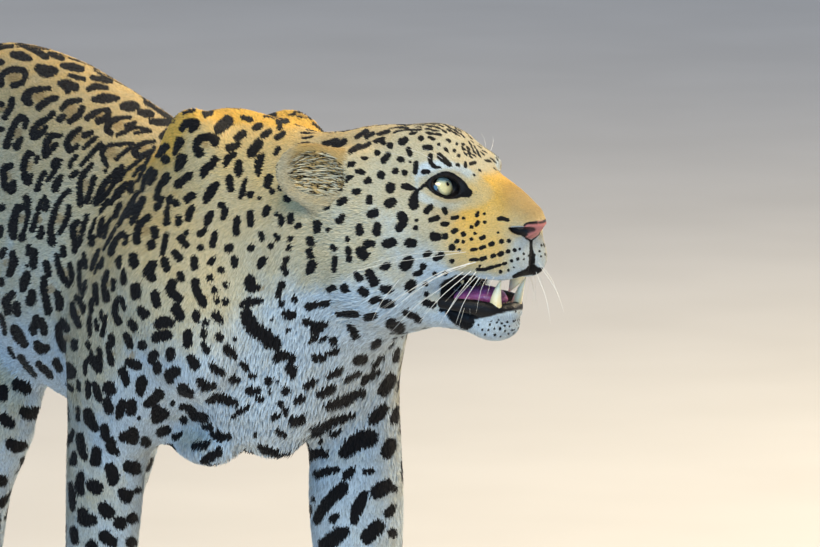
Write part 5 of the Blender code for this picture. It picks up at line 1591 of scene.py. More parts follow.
def tuft_tree():
    """A tapering, bent blade on each root, with its patch of the unwrap at the root's place."""
    inputs = (
        ("Roots", "Geometry", None), ("Taper", "Float", 2.6), ("Bend", "Float", 0.10),
        ("Patch", "Float", PATCH), ("Seed", "Int", 5), ("Material", "Material", None),
    )
    tree, given, out = new_tree("tufts", "GeometryNodeTree", inputs, ("Coat", "Geometry"))

    def stored(geometry, name, value, kind, domain):
        inputs = {"Geometry": geometry, "Name": name, "Value": value}
        made = node(tree, "GeometryNodeStoreNamedAttribute", inputs, data_type=kind, domain=domain)
        return made.outputs[0]

    def named(name):
        inputs = {"Name": name}
        return node(tree, "GeometryNodeInputNamedAttribute", inputs, data_type="FLOAT_VECTOR").outputs[0]

    flat = node(tree, "GeometryNodeMeshGrid", {"Size X": 1, "Size Y": 1, "Vertices X": 2, "Vertices Y": 3})
    place = node(tree, "GeometryNodeInputPosition").outputs[0]
    blade = stored(flat.outputs[0], "patch", place, "FLOAT_VECTOR", "POINT")
    across, along, _ = node(tree, "ShaderNodeSeparateXYZ", {0: place}).outputs
    t = sums(tree, "ADD", along, 0.5)
    narrow = sums(tree, "SUBTRACT", 1.0, sums(tree, "POWER", t, given["Taper"]))
    arch = sums(tree, "MULTIPLY", sums(tree, "MULTIPLY", t, sums(tree, "SUBTRACT", 1.0, t)), 4.0)
    shape = node(tree, "ShaderNodeCombineXYZ", {
        0: sums(tree, "MULTIPLY", across, narrow), 1: t, 2: sums(tree, "MULTIPLY", arch, given["Bend"]),
    }).outputs[0]
    blade = node(tree, "GeometryNodeSetPosition", {"Geometry": blade, "Position": shape}).outputs[0]
    blade = node(tree, "GeometryNodeMergeByDistance", {"Geometry": blade, "Distance": 0.001}).outputs[0]
    turn = node(
        tree, "FunctionNodeAxesToRotation", {0: named("lie"), 1: named("out")},
        primary_axis="Y", secondary_axis="Z",
    ).outputs[0]
    coat = node(tree, "GeometryNodeInstanceOnPoints", {
        "Points": given["Roots"], "Instance": blade, "Rotation": turn, "Scale": named("size"),
    }).outputs[0]
    dice = node(tree, "FunctionNodeRandomValue", {"Seed": given["Seed"]}, data_type="FLOAT").outputs[1]
    coat = stored(coat, "tone", dice, "FLOAT", "INSTANCE")
    coat = node(tree, "GeometryNodeRealizeInstances", {"Geometry": coat}).outputs[0]
    spread = scaled(tree, named("patch"), given["Patch"])
    at = node(tree, "ShaderNodeVectorMath", {0: named("unwrapped"), 1: spread}, operation="ADD")
    coat = stored(coat, "OFBake", at.outputs[0], "FLOAT2", "CORNER")
    coat = node(tree, "GeometryNodeSetMaterial", {"Geometry": coat, "Material": given["Material"]})
    tree.links.new(coat.outputs[0], out)
    return tree


def grown(name, tree, source, numbers):
    """The plain mesh that a node tree makes from a source mesh, with its inputs set by their names."""
    holder = link(bpy.data.objects.new("Holder", source))
    grower = holder.modifiers.new("Grower", "NODES")
    grower.node_group = tree
    labels = {item.name: item.identifier for item in tree.interface.items_tree if item.in_out == "INPUT"}
    for label, value in numbers.items():
        grower[labels[label]] = value
    bpy.context.view_layer.update()
    evaluated = holder.evaluated_get(bpy.context.evaluated_depsgraph_get())
    mesh = bpy.data.meshes.new_from_object(evaluated)
    mesh.name = name
    holder.modifiers.clear()
    bpy.data.objects.remove(holder)
    bpy.data.meshes.remove(source)
    return mesh


def tufts(place, tree, material, roots, chosen, numbers):
    """One piece of the coat from the chosen roots."""
    name = f"coat_{place}"
    source = bpy.data.meshes.new("Roots")
    source.from_pydata((roots.places[chosen] - ORIGIN).tolist(), [], [])
    for label in ("spot", "spot_tip", "heart", "warmth", "lie", "out", "size", "unwrapped"):
        put(source, label, numbers[label][chosen])
    mesh = grown(name, tree, source, {"Seed": len(name), "Material": material})
    for label in ("lie", "out", "size", "unwrapped"):
        if label in mesh.attributes:
            mesh.attributes.remove(mesh.attributes[label])
    new_piece(name, mesh, slot=COAT_SLOTS.get(place, "coat_body"))


# Eyes, teeth, claws, tongue and whiskers

SIDES = {1: "left", -1: "right"}
IRIS_SPREAD = 46.0  # degrees off the gaze where the white of the eye begins
BULGE, BULGE_SPREAD = 0.045, 38  # how far the clear front stands out, in radii, and its width in degrees
GAZE_SHIFT = np.array((0.08, -0.19, 0.16))  # how far the gaze leaves the middle of the lids' opening


def eyeball(side):
    """A ball with a clear bulge in front; each corner knows how far it is off the gaze."""
    axes, centre = eye_axes(side), eye_centre(side)
    gaze = unit(axes[:, 2] + HEAD @ (GAZE_SHIFT * np.array((1, side, 1))))
    slit = unit(axes[:, 0] - gaze * (axes[:, 0] @ gaze))
    axes = np.stack([slit, np.cross(gaze, slit) * side, gaze], 1)
    form = bmesh.new()
    bmesh.ops.create_uvsphere(form, u_segments=64, v_segments=48, radius=1.0)
    mesh = bpy.data.meshes.new(f"eye_{SIDES[side]}")
    form.to_mesh(mesh)
    form.free()
    local, _ = corners_of(mesh)
    local = unit(local)
    off = np.degrees(np.arccos(np.clip(local[:, 2], -1, 1)))
    radius = EYE_RADIUS * MM * (1 + BULGE * np.clip(1 - (off / BULGE_SPREAD) ** 2, 0, 1))
    places = centre + (local * radius[:, None]) @ axes.T - ORIGIN
    mesh.vertices.foreach_set("co", places.astype(np.float32).ravel())
    around = np.arctan2(local[:, 1], local[:, 0])
    put(mesh, "off_gaze", off / IRIS_SPREAD)
    put(mesh, "iris_place", np.stack([np.cos(around), np.sin(around), off / 60], 1))
    put(mesh, "upward", local[:, 1])
    mesh.shade_smooth()
    return mesh


def eye_material():
    material, tree, shader = new_material(
        "leopard_eye", Roughness=0.12, Coat_Weight=1.0, Coat_Roughness=0.02, Specular_IOR_Level=0.5,
    )
    off = attribute(tree, "off_gaze")
    streak = noise(tree, attribute(tree, "iris_place", "Vector"), 9.0, 4.0)
    wavy = sums(tree, "MULTIPLY_ADD", streak, 0.08, sums(tree, "SUBTRACT", off, 0.04))
    # towards its top the iris turns bluish: painted shade of the upper lid
    high = ramp_between(tree, attribute(tree, "upward"), -0.25, 0.35)
    iris = blend_colour(tree, high, IRIS_BELOW, IRIS_LID_SHADE)
    for value, start, end, share, tint in (
        (streak, 0.35, 0.70, 0.28, IRIS_LINES), (wavy, 0.70, 0.92, 0.7, IRIS_RIM),
        (wavy, 0.30, 0.18, 0.5, IRIS_BROWN),
    ):
        share = sums(tree, "MULTIPLY", ramp_between(tree, value, start, end), share)
        iris = blend_colour(tree, share, iris, tint)
    dark = sums(tree, "MAXIMUM", ramp_between(tree, wavy, 0.17, 0.145), ramp_between(tree, wavy, 0.92, 0.97))
    wire(tree, shader, blend_colour(tree, dark, iris, PUPIL))
    return material


def in_place(*place):
    """Millimetres of the figure's own frame, in metres."""
    return np.array(place) * MM


def fang_form(form, root, tip, thickness, lean, sides=14, rings=9, placed_by=in_head):
    """A curved, closed cone in millimetres, in the frame that places it; lean pushes its middle sideways."""
    root, tip, lean = (np.array(place, float) for place in (root, tip, lean))
    rows = []
    for number in range(rings):
        t = number / (rings - 1)
        middle = root + (tip - root) * t + lean * 4 * t * (1 - t)
        ahead = unit(tip - root + lean * 4 * (1 - 2 * t))
        across = unit(np.cross(ahead, (0, 1, 0)) + (1e-6, 0, 0))
        up = np.cross(ahead, across)
        size = thickness * (1 - 0.92 * t**1.7)
        row = []
        for turn in np.arange(sides) * 2 * math.pi / sides:
            place = middle + size * (math.cos(turn) * across * 1.12 + math.sin(turn) * up * 0.88)
            row.append(form.verts.new(placed_by(*place) - ORIGIN))
        rows.append(row)
    for first, second in zip(rows[:-1], rows[1:]):
        for i in range(sides):
            form.faces.new((first[i], first[(i + 1) % sides], second[(i + 1) % sides], second[i]))
    form.faces.new(rows[-1])
    form.faces.new(rows[0][::-1])


def closed_mesh(name, form):
    """The mesh of a form whose faces are turned outwards first."""
    bmesh.ops.recalc_face_normals(form, faces=form.faces)
    mesh = bpy.data.meshes.new(name)
    form.to_mesh(mesh)
    form.free()
    mesh.shade_smooth()
    return mesh


# Each canine's root, tip, half thickness and lean; the two rows of front teeth, from base to tip, and how far
# forward their middles stand; and how far forward each cheek tooth stands and how long it is
CANINES = (
    ((40, 15, -78), (25, 14, -103), 8.6, (2.5, 0, 0)),
    ((30, -20, -74), (25, -20, -86), 6.0, (1.0, 0, 0)),
    ((30, 14.5, -120), (45, 16, -91), 5.0, (-1.5, 0, 0)),
    ((30, -14.5, -120), (41, -16, -90.5), 6.2, (-2.0, 0, 0)),
)
FRONT_TOOTH, FRONT_ROWS = 4.2, ((-76, -87, 43), (-122, -112, 31))
CHEEK_TEETH = ((10, 3), (0, 6), (-10, 5))
UPPER_GUM, BITE, LOWER_GUM, CANINE_LENGTH = -74, -99, -125, 30


def teeth_mesh():
    form = bmesh.new()
    for root, tip, thickness, lean in CANINES:
        fang_form(form, root, tip, thickness, lean)
    for place in (-2.5, -1.5, -0.5, 0.5, 1.5, 2.5):
        for base, top, front in FRONT_ROWS:
            ahead, aside = front - 0.5 * place * place, place * FRONT_TOOTH
            fang_form(form, (ahead - 2, aside, base), (ahead, aside, top), 2.6, (0.5, 0, 0), 10, 6)
    for side in (1, -1):
        for ahead, height in CHEEK_TEETH:
            fang_form(form, (ahead, side * 23, -78), (ahead, side * 22, -86 - height), 4.2, (0, 0, 0), 10, 6)
    mesh = closed_mesh("teeth", form)
    height = to_head(corners_of(mesh)[0] + ORIGIN)[:, 2]
    upper, lower = (UPPER_GUM - height) / CANINE_LENGTH, (height - LOWER_GUM) / CANINE_LENGTH
    put(mesh, "from_gum", np.where(height > BITE, upper, lower))
    return mesh


CLAW_ROOT, CLAW_TIP = (18, 0, 8), (31.5, 0, -6)  # from the middle of a toe


def claws_mesh():
    """A hooked claw at the end of each toe, drawn back so that only its end shows."""
    form = bmesh.new()
    for paw_place in PAW_PLACES:
        for middle, axes in toes(*paw_place):
            root, tip = (middle / MM + axes @ end for end in (CLAW_ROOT, CLAW_TIP))
            fang_form(form, root, tip, 2.6, (0, 0, 3.0), 10, 7, in_place)
    return closed_mesh("claws", form)


def claw_material():
    material, tree, shader = new_material("leopard_claw", Specular_IOR_Level=0.5, Coat_Weight=0.2)
    grain = noise(tree, object_place(tree), 420.0, 3.0)
    colour = ramp(tree, grain, (0.3, CLAW_DARK), (0.7, CLAW_PALE))
    wire(tree, shader, colour, sums(tree, "MULTIPLY_ADD", grain, 0.2, 0.25))
    return material


def tooth_material():
    material, tree, shader = new_material(
        "leopard_tooth", Specular_IOR_Level=0.5, Coat_Weight=0.4, Coat_Roughness=0.12,
        Subsurface_Weight=0.08, Subsurface_Radius=(0.004, 0.003, 0.002),
    )
    stain = noise(tree, object_place(tree), 300.0, 4.0)
    base = sums(tree, "MULTIPLY_ADD", stain, 0.35, sums(tree, "SUBTRACT", attribute(tree, "from_gum"), 0.17))
    colour = ramp(tree, base, (0.0, TOOTH_ROOT), (0.35, TOOTH_MIDDLE), (0.8, TOOTH_TIP))
    wire(tree, shader, colour, sums(tree, "MULTIPLY_ADD", stain, 0.25, 0.18), stain, 0.2, 0.0004)
    return material


TONGUE_ROUTE = (
    (-34, 0, -106, 21, 9), (-22, 0, -106, 20, 9), (0, 0, -104, 20, 9), (16, 0, -106, 16, 8),
    (25, 0, -110, 10, 5),
)
TONGUE_GROOVE = ((-34, 0, -96, 1.5, 2.5), (0, 0, -94.5, 1.5, 2.5), (18, 0, -98, 1.2, 2.0))
TONGUE_BOX, TONGUE_VOXEL = ((-5, 0, -106), 0.045), 0.0011


def tongue_mesh():
    tongue = Flesh()
    tongue.add(head_limb(*TONGUE_ROUTE), 0.01)
    tongue.cut(head_limb(*TONGUE_GROOVE), 0.004)
    low, high = head_box(*TONGUE_BOX)
    values, _ = tongue.grid(low, high, TONGUE_VOXEL)
    mesh = contour("tongue_piece", values, TONGUE_VOXEL, low - ORIGIN)
    mesh.shade_smooth()
    return mesh


def tongue_material():
    material, tree, shader = new_material(
        "leopard_tongue", Specular_IOR_Level=0.5, Coat_Weight=0.5, Coat_Roughness=0.15,
        Subsurface_Weight=0.1, Subsurface_Radius=(0.006, 0.002, 0.002),
    )
    place = object_place(tree)
    buds = node(tree, "ShaderNodeTexVoronoi", {"Vector": place, "Scale": 620.0}).outputs[0]
    blotch = noise(tree, place, 120.0, 3.0)
    colour = ramp(tree, blotch, (0.25, TONGUE_DARK), (0.75, TONGUE_PALE))
    colour = blend_colour(tree, sums(tree, "MULTIPLY", buds, 0.4), colour, TONGUE_BUDS)
    wire(tree, shader, colour, sums(tree, "MULTIPLY_ADD", blotch, 0.3, 0.22), buds, 0.6, 0.0008)
    return material


WHISKER_THICKNESS = 0.00044  # half of it, in metres, at the root of the thickest


def whisker_tree():
    """Thin tapering tubes along polylines."""
    inputs = (
        ("Lines", "Geometry", None), ("Sides", "Int", 5), ("Thickness", "Float", WHISKER_THICKNESS),
        ("Material", "Material", None),
    )
    tree, given, out = new_tree("whiskers", "GeometryNodeTree", inputs, ("Whiskers", "Geometry"))
    share = node(tree, "GeometryNodeInputNamedAttribute", {"Name": "taper"}, data_type="FLOAT").outputs[0]
    line = node(tree, "GeometryNodeMeshToCurve", {0: given["Lines"]}).outputs[0]
    ring = node(tree, "GeometryNodeCurvePrimitiveCircle", {
        "Resolution": given["Sides"], "Radius": given["Thickness"],
    })
    tubes = node(tree, "GeometryNodeCurveToMesh", {
        "Curve": line, "Profile Curve": ring.outputs[0], "Scale": share, "Fill Caps": True,
    }).outputs[0]
    tubes = node(tree, "GeometryNodeRealizeInstances", {"Geometry": tubes}).outputs[0]
    tubes = node(tree, "GeometryNodeSetMaterial", {"Geometry": tubes, "Material": given["Material"]})
    tree.links.new(tubes.outputs[0], out)
    return tree


# Whiskers: stops across and down in the camera's frame, from the root on the pad to the tip, and how thick

WHISKERS = (
    (1.0, (470, 263, 433, 276, 384, 308)), (1.0, (476, 262, 446, 272, 415, 292, 370, 326)),
    (1.0, (463, 272, 440, 289, 415, 307, 392, 331)), (1.0, (471, 271, 440, 298, 417, 325)),
    (1.0, (476, 272, 458, 295, 440, 324)), (0.9, (477, 276, 459, 296, 439, 325)),
    (0.9, (480, 277, 464, 302, 455, 326)), (0.9, (482, 279, 467, 302, 459, 326)),
    (0.7, (464, 282, 445, 302)), (0.5, (466, 252, 417, 259, 384, 264, 356, 272, 335, 288)),
    (0.45, (462, 251, 420, 253, 378, 261, 350, 274)), (0.7, (399, 280, 381, 303, 370, 325)),
    (0.7, (487, 277, 481, 290, 476, 313)), (0.6, (494, 277, 490, 285, 487, 296)),
    (0.6, (482, 285, 471, 302, 470, 315)), (0.9, (466, 266, 440, 276, 409, 291, 381, 308)),
)
FAR_WHISKERS = (
    (0.6, (531, 276, 538, 300, 541, 330)), (0.6, (536, 272, 546, 298, 551, 325)),
    (0.6, (527, 278, 530, 305, 528, 335)), (0.6, (540, 266, 556, 290, 564, 312)),
    (0.6, (538, 262, 551, 278, 560, 300)), (0.4, (523, 279, 524, 300, 520, 322)),
)
FAR_WHISKER_REACH = 0.178  # the furthest that one stands out to the left, before ORIGIN is taken off
FLATTEST, STEEPEST = -0.030, -0.085  # how little and how far a whisker comes forward from its root, in metres
CLEARANCE, PROUD = 0.006, 0.002  # of a whisker from the skin, and of its root, in metres
FAR_THICKNESS = 0.55  # of a mirrored whisker, in shares of its near one's


def whisker_run(surface, stops):
    """Places along one whisker: its root stands on the surface, and it bows out clear of the rest of it."""
    eye, back, right, up = view_axes()
    fine = curved(np.reshape(np.array(stops, float), (-1, 2)), 5)
    ways, clear = [], []
    for across, down in fine:
        way = right * (across - PICTURE[0] / 2) + up * (PICTURE[1] / 2 - down)
        ways.append(unit(way / CAMERA_SCALE - back * CAMERA_AWAY))
        distance = surface.ray_cast(Vector(eye), Vector(ways[-1]))[3]
        clear.append(np.inf if distance is None else distance)
    if not np.isfinite(clear[0]):
        return None
    share = np.linspace(0, 1, len(fine))
    slopes = (np.array(clear[1:]) - CLEARANCE - clear[0]) / share[1:]
    slope = max(min(FLATTEST, slopes.min()), STEEPEST)
    return [eye + way * (clear[0] - PROUD * (t == 0) + slope * t) for way, t in zip(ways, share)]


BROW_HAIR = 26  # length of the hairs over the eyes, in millimetres


def brow_hairs(flesh, dice):
    """A few longer hairs over each eye, walked in from outside until they meet the skin."""
    runs = []
    for side in (-1, 1):
        for column in range(3):
            root = np.array([2 - 6 * column, side * (28 + 4 * column), 20 - column])
            way = unit(unit((-0.1 - 0.3 * column, side * 0.75, 0.65)) + dice.normal(0, 0.06, 3))
            walk = np.array([in_head(*(root + way * out)) for out in np.linspace(30, -25, 56)])
            inside = np.nonzero(flesh.distance(walk) < 0)[0]
            if len(inside):
                start = root + way * (28.5 - inside[0])
                share = np.linspace(0, 1, 9)[:, None]
                droop = np.array((-0.7, 0, -0.2)) * BROW_HAIR / 2 * share**2
                places = start + way * BROW_HAIR * share + droop
                runs.append((0.4, [in_head(*place) for place in places]))
    return runs


def swept_back(places):
    """A far whisker sweeps back beside the head, so that it stays within the figure's width."""
    root = places[0, 1]
    room = FAR_WHISKER_REACH - root
    places[:, 1] = root + room * (1 - np.exp(-(places[:, 1] - root) / room))
    return places


def whisker_mesh(tree, material, surface, flesh, dice):
    runs = brow_hairs(flesh, dice)
    for thickness, stops in WHISKERS + FAR_WHISKERS:
        places = whisker_run(surface, stops)
        if places is None:
            continue
        runs.append((thickness, places))
        if (thickness, stops) in WHISKERS:
            mirrored = np.array([in_head(*place) for place in to_head(np.array(places)) * (1, -1, 1)])
            runs.append((FAR_THICKNESS * thickness, swept_back(mirrored)))
    corners, edges, tapers = [], [], []
    for thickness, places in runs:
        for number, place in enumerate(places):
            corners.append(place - ORIGIN)
            tapers.append(thickness * (1 - 0.85 * (number / (len(places) - 1)) ** 1.3))
            if number:
                edges.append((len(corners) - 2, len(corners) - 1))
    source = bpy.data.meshes.new("Lines")
    source.from_pydata([tuple(corner) for corner in corners], edges, [])
    put(source, "taper", np.array(tapers))
    mesh = grown("whiskers", tree, source, {"Material": material})
    mesh.shade_smooth()
    return mesh


def whisker_material():
    material, tree, shader = new_material("leopard_whisker", Specular_IOR_Level=0.5)
    tone = noise(tree, object_place(tree), 60.0)
    colour = ramp(tree, tone, (0.3, WHISKER_DULL), (0.7, WHISKER_WHITE))
    wire(tree, shader, colour, sums(tree, "MULTIPLY_ADD", tone, 0.2, 0.22))
    return material


# Assembly


def marked(points, normals, drawing, marks):
    """Distance from the nearest mark of either kind, and how far inside a rosette."""
    drawn, _, drawn_heart = drawing.paint(points, normals)
    spot, heart = paint_marks(marks, points, normals)
    return np.minimum(spot, drawn), np.maximum(heart, drawn_heart)


MOSTLY = 0.4  # from this share of a mask on, a place belongs to it
DUSKY_NOSE = (66, 0, -16)  # the middle of the darker fur on the end of the nose, in the head's frame
LID_LINING = (1.20, 1.45)  # where the black round the lids' opening ends, in shares of the opening
EAR_HAIR, CUP_SHADE_TONE, PALE_HAIRS = 11, 0.99, 0.46  # of the hair in the ear: millimetres, a half-dark tone that is partly painted shade of the hollow, and the share of pale hairs


def numbers_of(points, normals, drawing, marks, found, shown=None):
    """What the coat's material and tufts need at each place, with the marks of where it is shown."""
    spot, heart = marked(points if shown is None else shown, normals, drawing, marks)
    head = to_head(points)
    bare, pink, deep = bare_masks(points)
    warmth = found[:, 4]
    # a pale patch above and below each eye, a black lining, and golden rims on dark-backed ears
    for side in (1, -1):
        out = lid_distance(points, side)
        spot = np.minimum(spot, NO_MARK * step(out, *LID_LINING))
        warmth = warmth - 0.25 * step(np.abs(out - 2.1), 0.7, 0.2)
    cup, rim, gold, back, pale = ear_parts(points, normals)
    length = COAT_LENGTH * found[:, 5]
    on_rim, in_cup = rim > MOSTLY, cup > MOSTLY
    spot = np.where(on_rim, NO_MARK, spot)
    # the cup's hair is brown and half dark: partly its own colour, partly painted shade in the ear's hollow
    spot = np.where(in_cup, CUP_SHADE_TONE, spot)
    spot = np.where(back > MOSTLY, NO_MARK - NO_MARK * step(back - pale, 0.3, 0.6), spot)
    warmth = np.where(pale > MOSTLY, 0.0, warmth)
    warmth = np.where(on_rim, 0.30 + 0.40 * gold, np.where(in_cup, 0.62, warmth))
    heart = np.where(in_cup, 1.0, np.where(on_rim, 0.45 + 0.55 * gold, heart * (back < MOSTLY)))
    length = length + (EAR_HAIR - length) * cup
    heart = np.maximum(heart, step(np.linalg.norm(head - DUSKY_NOSE, axis=1), 36, 14))
    pink = pink * (1 - (1 - deep) * step(spot, 1.2, 0.9) * step(head[:, 0], 40, 50))
    return {
        "spot": spot, "heart": heart, "warmth": np.clip(warmth, 0, 1), "length": length,
        "bare": bare, "pink": pink, "deep": deep, "cup": cup, "ear": cup + rim + back,
    }


def random_marks(points, normals, character, gap, dice):
    """Marks where none is drawn, spaced and shaped as each place asks."""
    spacing = character[:, 0] * MARK_SPACING * MM
    taken = (character[:, 1] < 1.2) | (gap < HAND_GAP * spacing)
    found = []
    for number in seeds(points, spacing, taken, dice):
        _, length, width, share, *_ = character[number]
        length *= MARK_SIZE * dice.uniform(0.78, 1.18)
        width *= MARK_SIZE * dice.uniform(0.80, 1.18)
        normal, along = normals[number], character[number, 9:12]
        across = np.cross(normal, along)
        angle = dice.normal(0, 0.30)
        along = along * math.cos(angle) + across * math.sin(angle)
        arcs = random_arcs(dice) if dice.random() < share else ()
        if len(arcs):
            length, width = length * 1.06, width * 1.06
        wobble = (dice.uniform(0, 0.16), dice.uniform(0, 6.3), dice.uniform(0, 0.16), dice.uniform(0, 6.3))
        found.append(mark_at(points[number], normal, along, length, width, arcs, wobble))
    return found


COAT_PIECES = (
    "face", "crown", "neck", "breast", "shoulders", "barrel", "loins", "foreleg_left", "foreleg_right",
    "haunch_left", "haunch_right", "hindleg_left", "hindleg_right", "tail",
)
COAT_SLOTS = {"face": "coat_head", "crown": "coat_head", "breast": "coat_pale"}  # the others: coat_body


def coat_places(points):
    """Which piece of the coat each place belongs to."""
    x, y, z = points.T
    ahead = (points - NECK_PLANE[0]) @ NECK_PLANE[1]
    front = (points - FACE_PLANE[0]) @ FACE_PLANE[1]
    left, number = y > 0.004, COAT_PIECES.index
    piece = np.full(len(points), number("barrel"))
    piece[x > -0.09] = number("shoulders")
    piece[(x > 0.055) | ((x > -0.01) & (z > 0.60))] = number("neck")
    piece[(x > 0.03) & (z < 0.47) & (z > 0.335)] = number("breast")
    for side, here in (("left", left), ("right", ~left)):
        piece[here & (x > -0.25) & (z <= 0.345)] = number(f"foreleg_{side}")
    piece[x < -0.33] = number("loins")
    for side, here in (("left", left), ("right", ~left)):
        piece[here & (((x < -0.30) & (z < 0.40)) | (x < -0.53))] = number(f"haunch_{side}")
        piece[here & (x < -0.30) & (z < 0.30)] = number(f"hindleg_{side}")
    piece[x < -0.745] = number("tail")
    piece[ahead > 0] = number("crown")
    piece[front > 0] = number("face")
    return piece


COAT_LENGTH = 0.80  # share of the tufts' lengths in the tables
SHOWN = (0.40, 0.85)  # shares of a blade's length between which it shows
COVER, LESS_COVER = 2.5, 0.7  # how many blades lie over each other, and how many fewer low down and behind
BARE, SOLE = 0.45, 0.004  # how bare the skin is, and how low, where no tuft grows


def tuft_width(length):
    """In millimetres, as the length is."""
    return 0.20 + 0.105 * length


def tuft_density(points, skin):
    """Tufts to the square metre at each place of the skin."""
    low, behind = step(points[:, 2], 0.38, 0.32), step(points[:, 0], -0.46, -0.54)
    cover = COVER - LESS_COVER * np.maximum(low, behind)
    density = TUFTS * cover / (skin["length"] * tuft_width(skin["length"]) * MM * MM)
    density[(skin["bare"] > BARE) | (points[:, 2] < SINK + SOLE)] = 0
    return density


def tuft_numbers(roots, drawing, marks, dice):
    """What each tuft is like: its size, lie and colours."""
    places, normals = roots.places, roots.normals
    character = coat_character(places, normals)
    count = len(places)
    # the lie wanders a little in broad locks, and each tuft a little more
    lie = character[:, 6:9]
    across = np.cross(normals, lie)
    locks = 0.16 * np.sin(places @ (97, 61, 83)) * np.sin(places @ (-71, 113, 59) + 1.0)
    sway = locks + dice.normal(0, 0.13, count)
    flat = lie * np.cos(sway)[:, None] + across * np.sin(sway)[:, None]
    vary = dice.uniform(0.75, 1.2, count)
    # a blade takes the marks that its outer half lies over, because others cover its root
    reach = flat * (character[:, 5] * COAT_LENGTH * vary * MM)[:, None]
    numbers = numbers_of(places, normals, drawing, marks, character, places + SHOWN[0] * reach)
    long = numbers["length"] * vary * MM
    lift = 9 + 7 * step(numbers["length"], 8, 15) + dice.normal(0, 3.0, count) + 14 * numbers["cup"]
    lift = np.radians(lift)
    numbers["lie"] = flat * np.cos(lift)[:, None] + normals * np.sin(lift)[:, None]
    numbers["out"] = unit(normals + 0.18 * dice.normal(0, 1, (count, 3)))
    tips = places + SHOWN[1] * reach
    numbers["spot_tip"], _ = marked(tips, normals, drawing, marks)
    for side in (1, -1):
        lining = NO_MARK * step(lid_distance(tips, side), *LID_LINING)
        numbers["spot_tip"] = np.minimum(numbers["spot_tip"], lining)
    in_ear = numbers["ear"] > MOSTLY
    numbers["spot_tip"][in_ear] = numbers["spot"][in_ear]
    wide = tuft_width(numbers["length"]) * dice.uniform(0.8, 1.2, count) * MM
    numbers["size"] = np.stack([wide, long, long], 1)
    pale = (numbers["cup"] > MOSTLY) & (dice.random(count) < PALE_HAIRS)
    for name, value in (("spot", NO_MARK), ("spot_tip", NO_MARK), ("warmth", 0.30), ("heart", 0.0)):
        numbers[name][pale] = value
    numbers["unwrapped"] = np.concatenate([roots.unwrapped, np.zeros((count, 1))], 1)
    return numbers


def build_coat(mesh, surface, markings, dice):
    """Marks the skin, and grows the pieces of the coat on it."""
    points, normals = corners_of(mesh)
    character = coat_character(points, normals)
    drawing = Drawing(surface)
    _, gap, _ = drawing.paint(points, normals, reach=30.0)
    marks = random_marks(points, normals, character, gap, dice)
    skin = numbers_of(points, normals, drawing, marks, character)
    for name in ("spot", "heart", "warmth", "bare", "pink", "deep"):
        put(mesh, name, skin[name])
    roots = Roots(mesh, tuft_density(points, skin), dice)
    numbers = tuft_numbers(roots, drawing, marks, dice)
    material, tree = coat_material(markings), tuft_tree()
    piece, kept = coat_places(roots.places), numbers["bare"] < MOSTLY
    for number, name in enumerate(COAT_PIECES):
        chosen = np.nonzero((piece == number) & kept)[0]
        tufts(name, tree, material, roots, chosen, numbers)


# Camera, floor and lights


SENSOR = 36
FLOOR_REACH = 14
FLOOR_DULL, FLOOR_PALE = (0.62, 0.60, 0.57), (0.66, 0.64, 0.61)
SKY, SKY_STRENGTH = (0.50, 0.70, 1.0, 1), 0.38
# Each lamp's place, what it points at, size, power and colour
KEY = ((1.30, -0.30, 1.25), (0.7, 0.08, 0.60), 0.5, 9, (1.0, 0.90, 0.66))
RIM = ((0.0, 3.6, 3.2), (0.4, 0.05, 0.55), 1.0, 300, (1.0, 0.84, 0.58))
FILL = ((3.6, -3.0, 1.2), (0.3, 0, 0.4), 3.0, 90, (0.18, 0.55, 1.0))
SUN_POWER, SUN_WIDTH, SUN_COLOUR, SUN_TURN = 0.65, 0.8, (1.0, 0.82, 0.62), (-0.35, -0.1, 0)


def camera():
    """A long lens that sees the head at its scale in points of the frame to the metre."""
    eye_place, back, _, _ = view_axes()
    lens = bpy.data.cameras.new("Camera")
    eye = link(bpy.data.objects.new("Camera", lens))
    eye.location = Vector(eye_place - ORIGIN)
    eye.rotation_euler = Vector(back).to_track_quat("Z", "Y").to_euler()
    lens.sensor_width = SENSOR
    lens.lens = SENSOR * CAMERA_AWAY * CAMERA_SCALE / PICTURE[0]
    lens.clip_end = 100
    bpy.context.scene.camera = eye


def area_light(name, place, target, size, power, colour):
    light = bpy.data.lights.new(name, "AREA")
    light.shape = "DISK"
    light.size = size
    light.energy = power
    light.color = colour
    lamp = link(bpy.data.objects.new(name, light))
    lamp.visible_camera = False
    lamp.location = place
    lamp.rotation_euler = (Vector(place) - Vector(target)).to_track_quat("Z", "Y").to_euler()


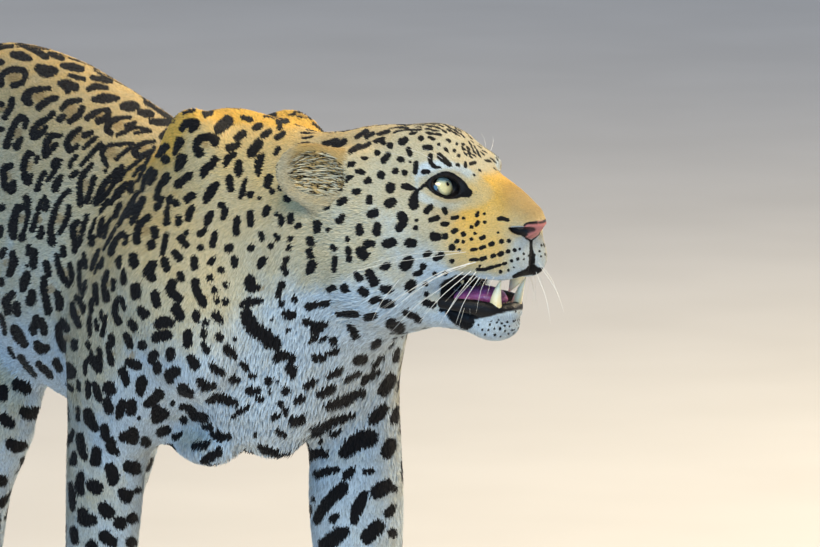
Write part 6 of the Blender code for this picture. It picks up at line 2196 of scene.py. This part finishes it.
def studio():
    mesh = bpy.data.meshes.new("floor")
    corners = [(x * FLOOR_REACH, y * FLOOR_REACH, 0) for x, y in ((-1, -1), (1, -1), (1, 1), (-1, 1))]
    mesh.from_pydata(corners, [], [(0, 1, 2, 3)])
    material, tree, shader = new_material("pale_floor", Roughness=0.8)
    tone = noise(tree, object_place(tree), 3.0)
    wire(tree, shader, ramp(tree, tone, (0.3, FLOOR_DULL), (0.7, FLOOR_PALE)))
    mesh.materials.append(material)
    floor = link(bpy.data.objects.new("floor", mesh))
    world = bpy.data.worlds.new("Studio")
    world.use_nodes = True
    sky = world.node_tree.nodes["Background"].inputs
    sky[0].default_value, sky[1].default_value = SKY, SKY_STRENGTH
    bpy.context.scene.world = world
    bpy.context.scene.view_settings.view_transform = "Standard"
    area_light("Key", *KEY)
    area_light("Rim", *RIM)
    overhead = bpy.data.lights.new("Overhead", "SUN")
    overhead.energy, overhead.angle, overhead.color = SUN_POWER, SUN_WIDTH, SUN_COLOUR
    link(bpy.data.objects.new("Overhead", overhead)).rotation_euler = SUN_TURN
    area_light("Fill", *FILL)


SEED = 11


def main():
    dice = np.random.default_rng(SEED)
    markings = coat_markings()
    mesh = skin_mesh()
    surface = surface_of(mesh)
    build_coat(mesh, surface, markings, dice)
    mesh.transform(Matrix.Translation(-Vector(ORIGIN)))
    mesh.materials.append(skin_material(markings))
    flesh_nodes = [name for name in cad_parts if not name.startswith("eye") and name != "tongue"]
    new_piece("leopard_skin", mesh, slot="coat_body", nodes=flesh_nodes)
    eye_finish = eye_material()
    for side in (1, -1):
        ball = eyeball(side)
        ball.materials.append(eye_finish)
        name = f"eye_{SIDES[side]}"
        new_piece(f"{name}_ball", ball, slot="eye", nodes=[name])
    for name, mesh, material, given in (
        ("tongue_piece", tongue_mesh(), tongue_material(), {"slot": "tongue", "nodes": ["tongue"]}),
        ("teeth", teeth_mesh(), tooth_material(), {}),
        ("claws", claws_mesh(), claw_material(), {}),
    ):
        mesh.materials.append(material)
        new_piece(name, mesh, **given)
    whiskers = whisker_mesh(whisker_tree(), whisker_material(), surface, leopard(), dice)
    new_piece("whiskers", whiskers)
    camera()
    studio()


main()
bpy.context.view_layer.update()
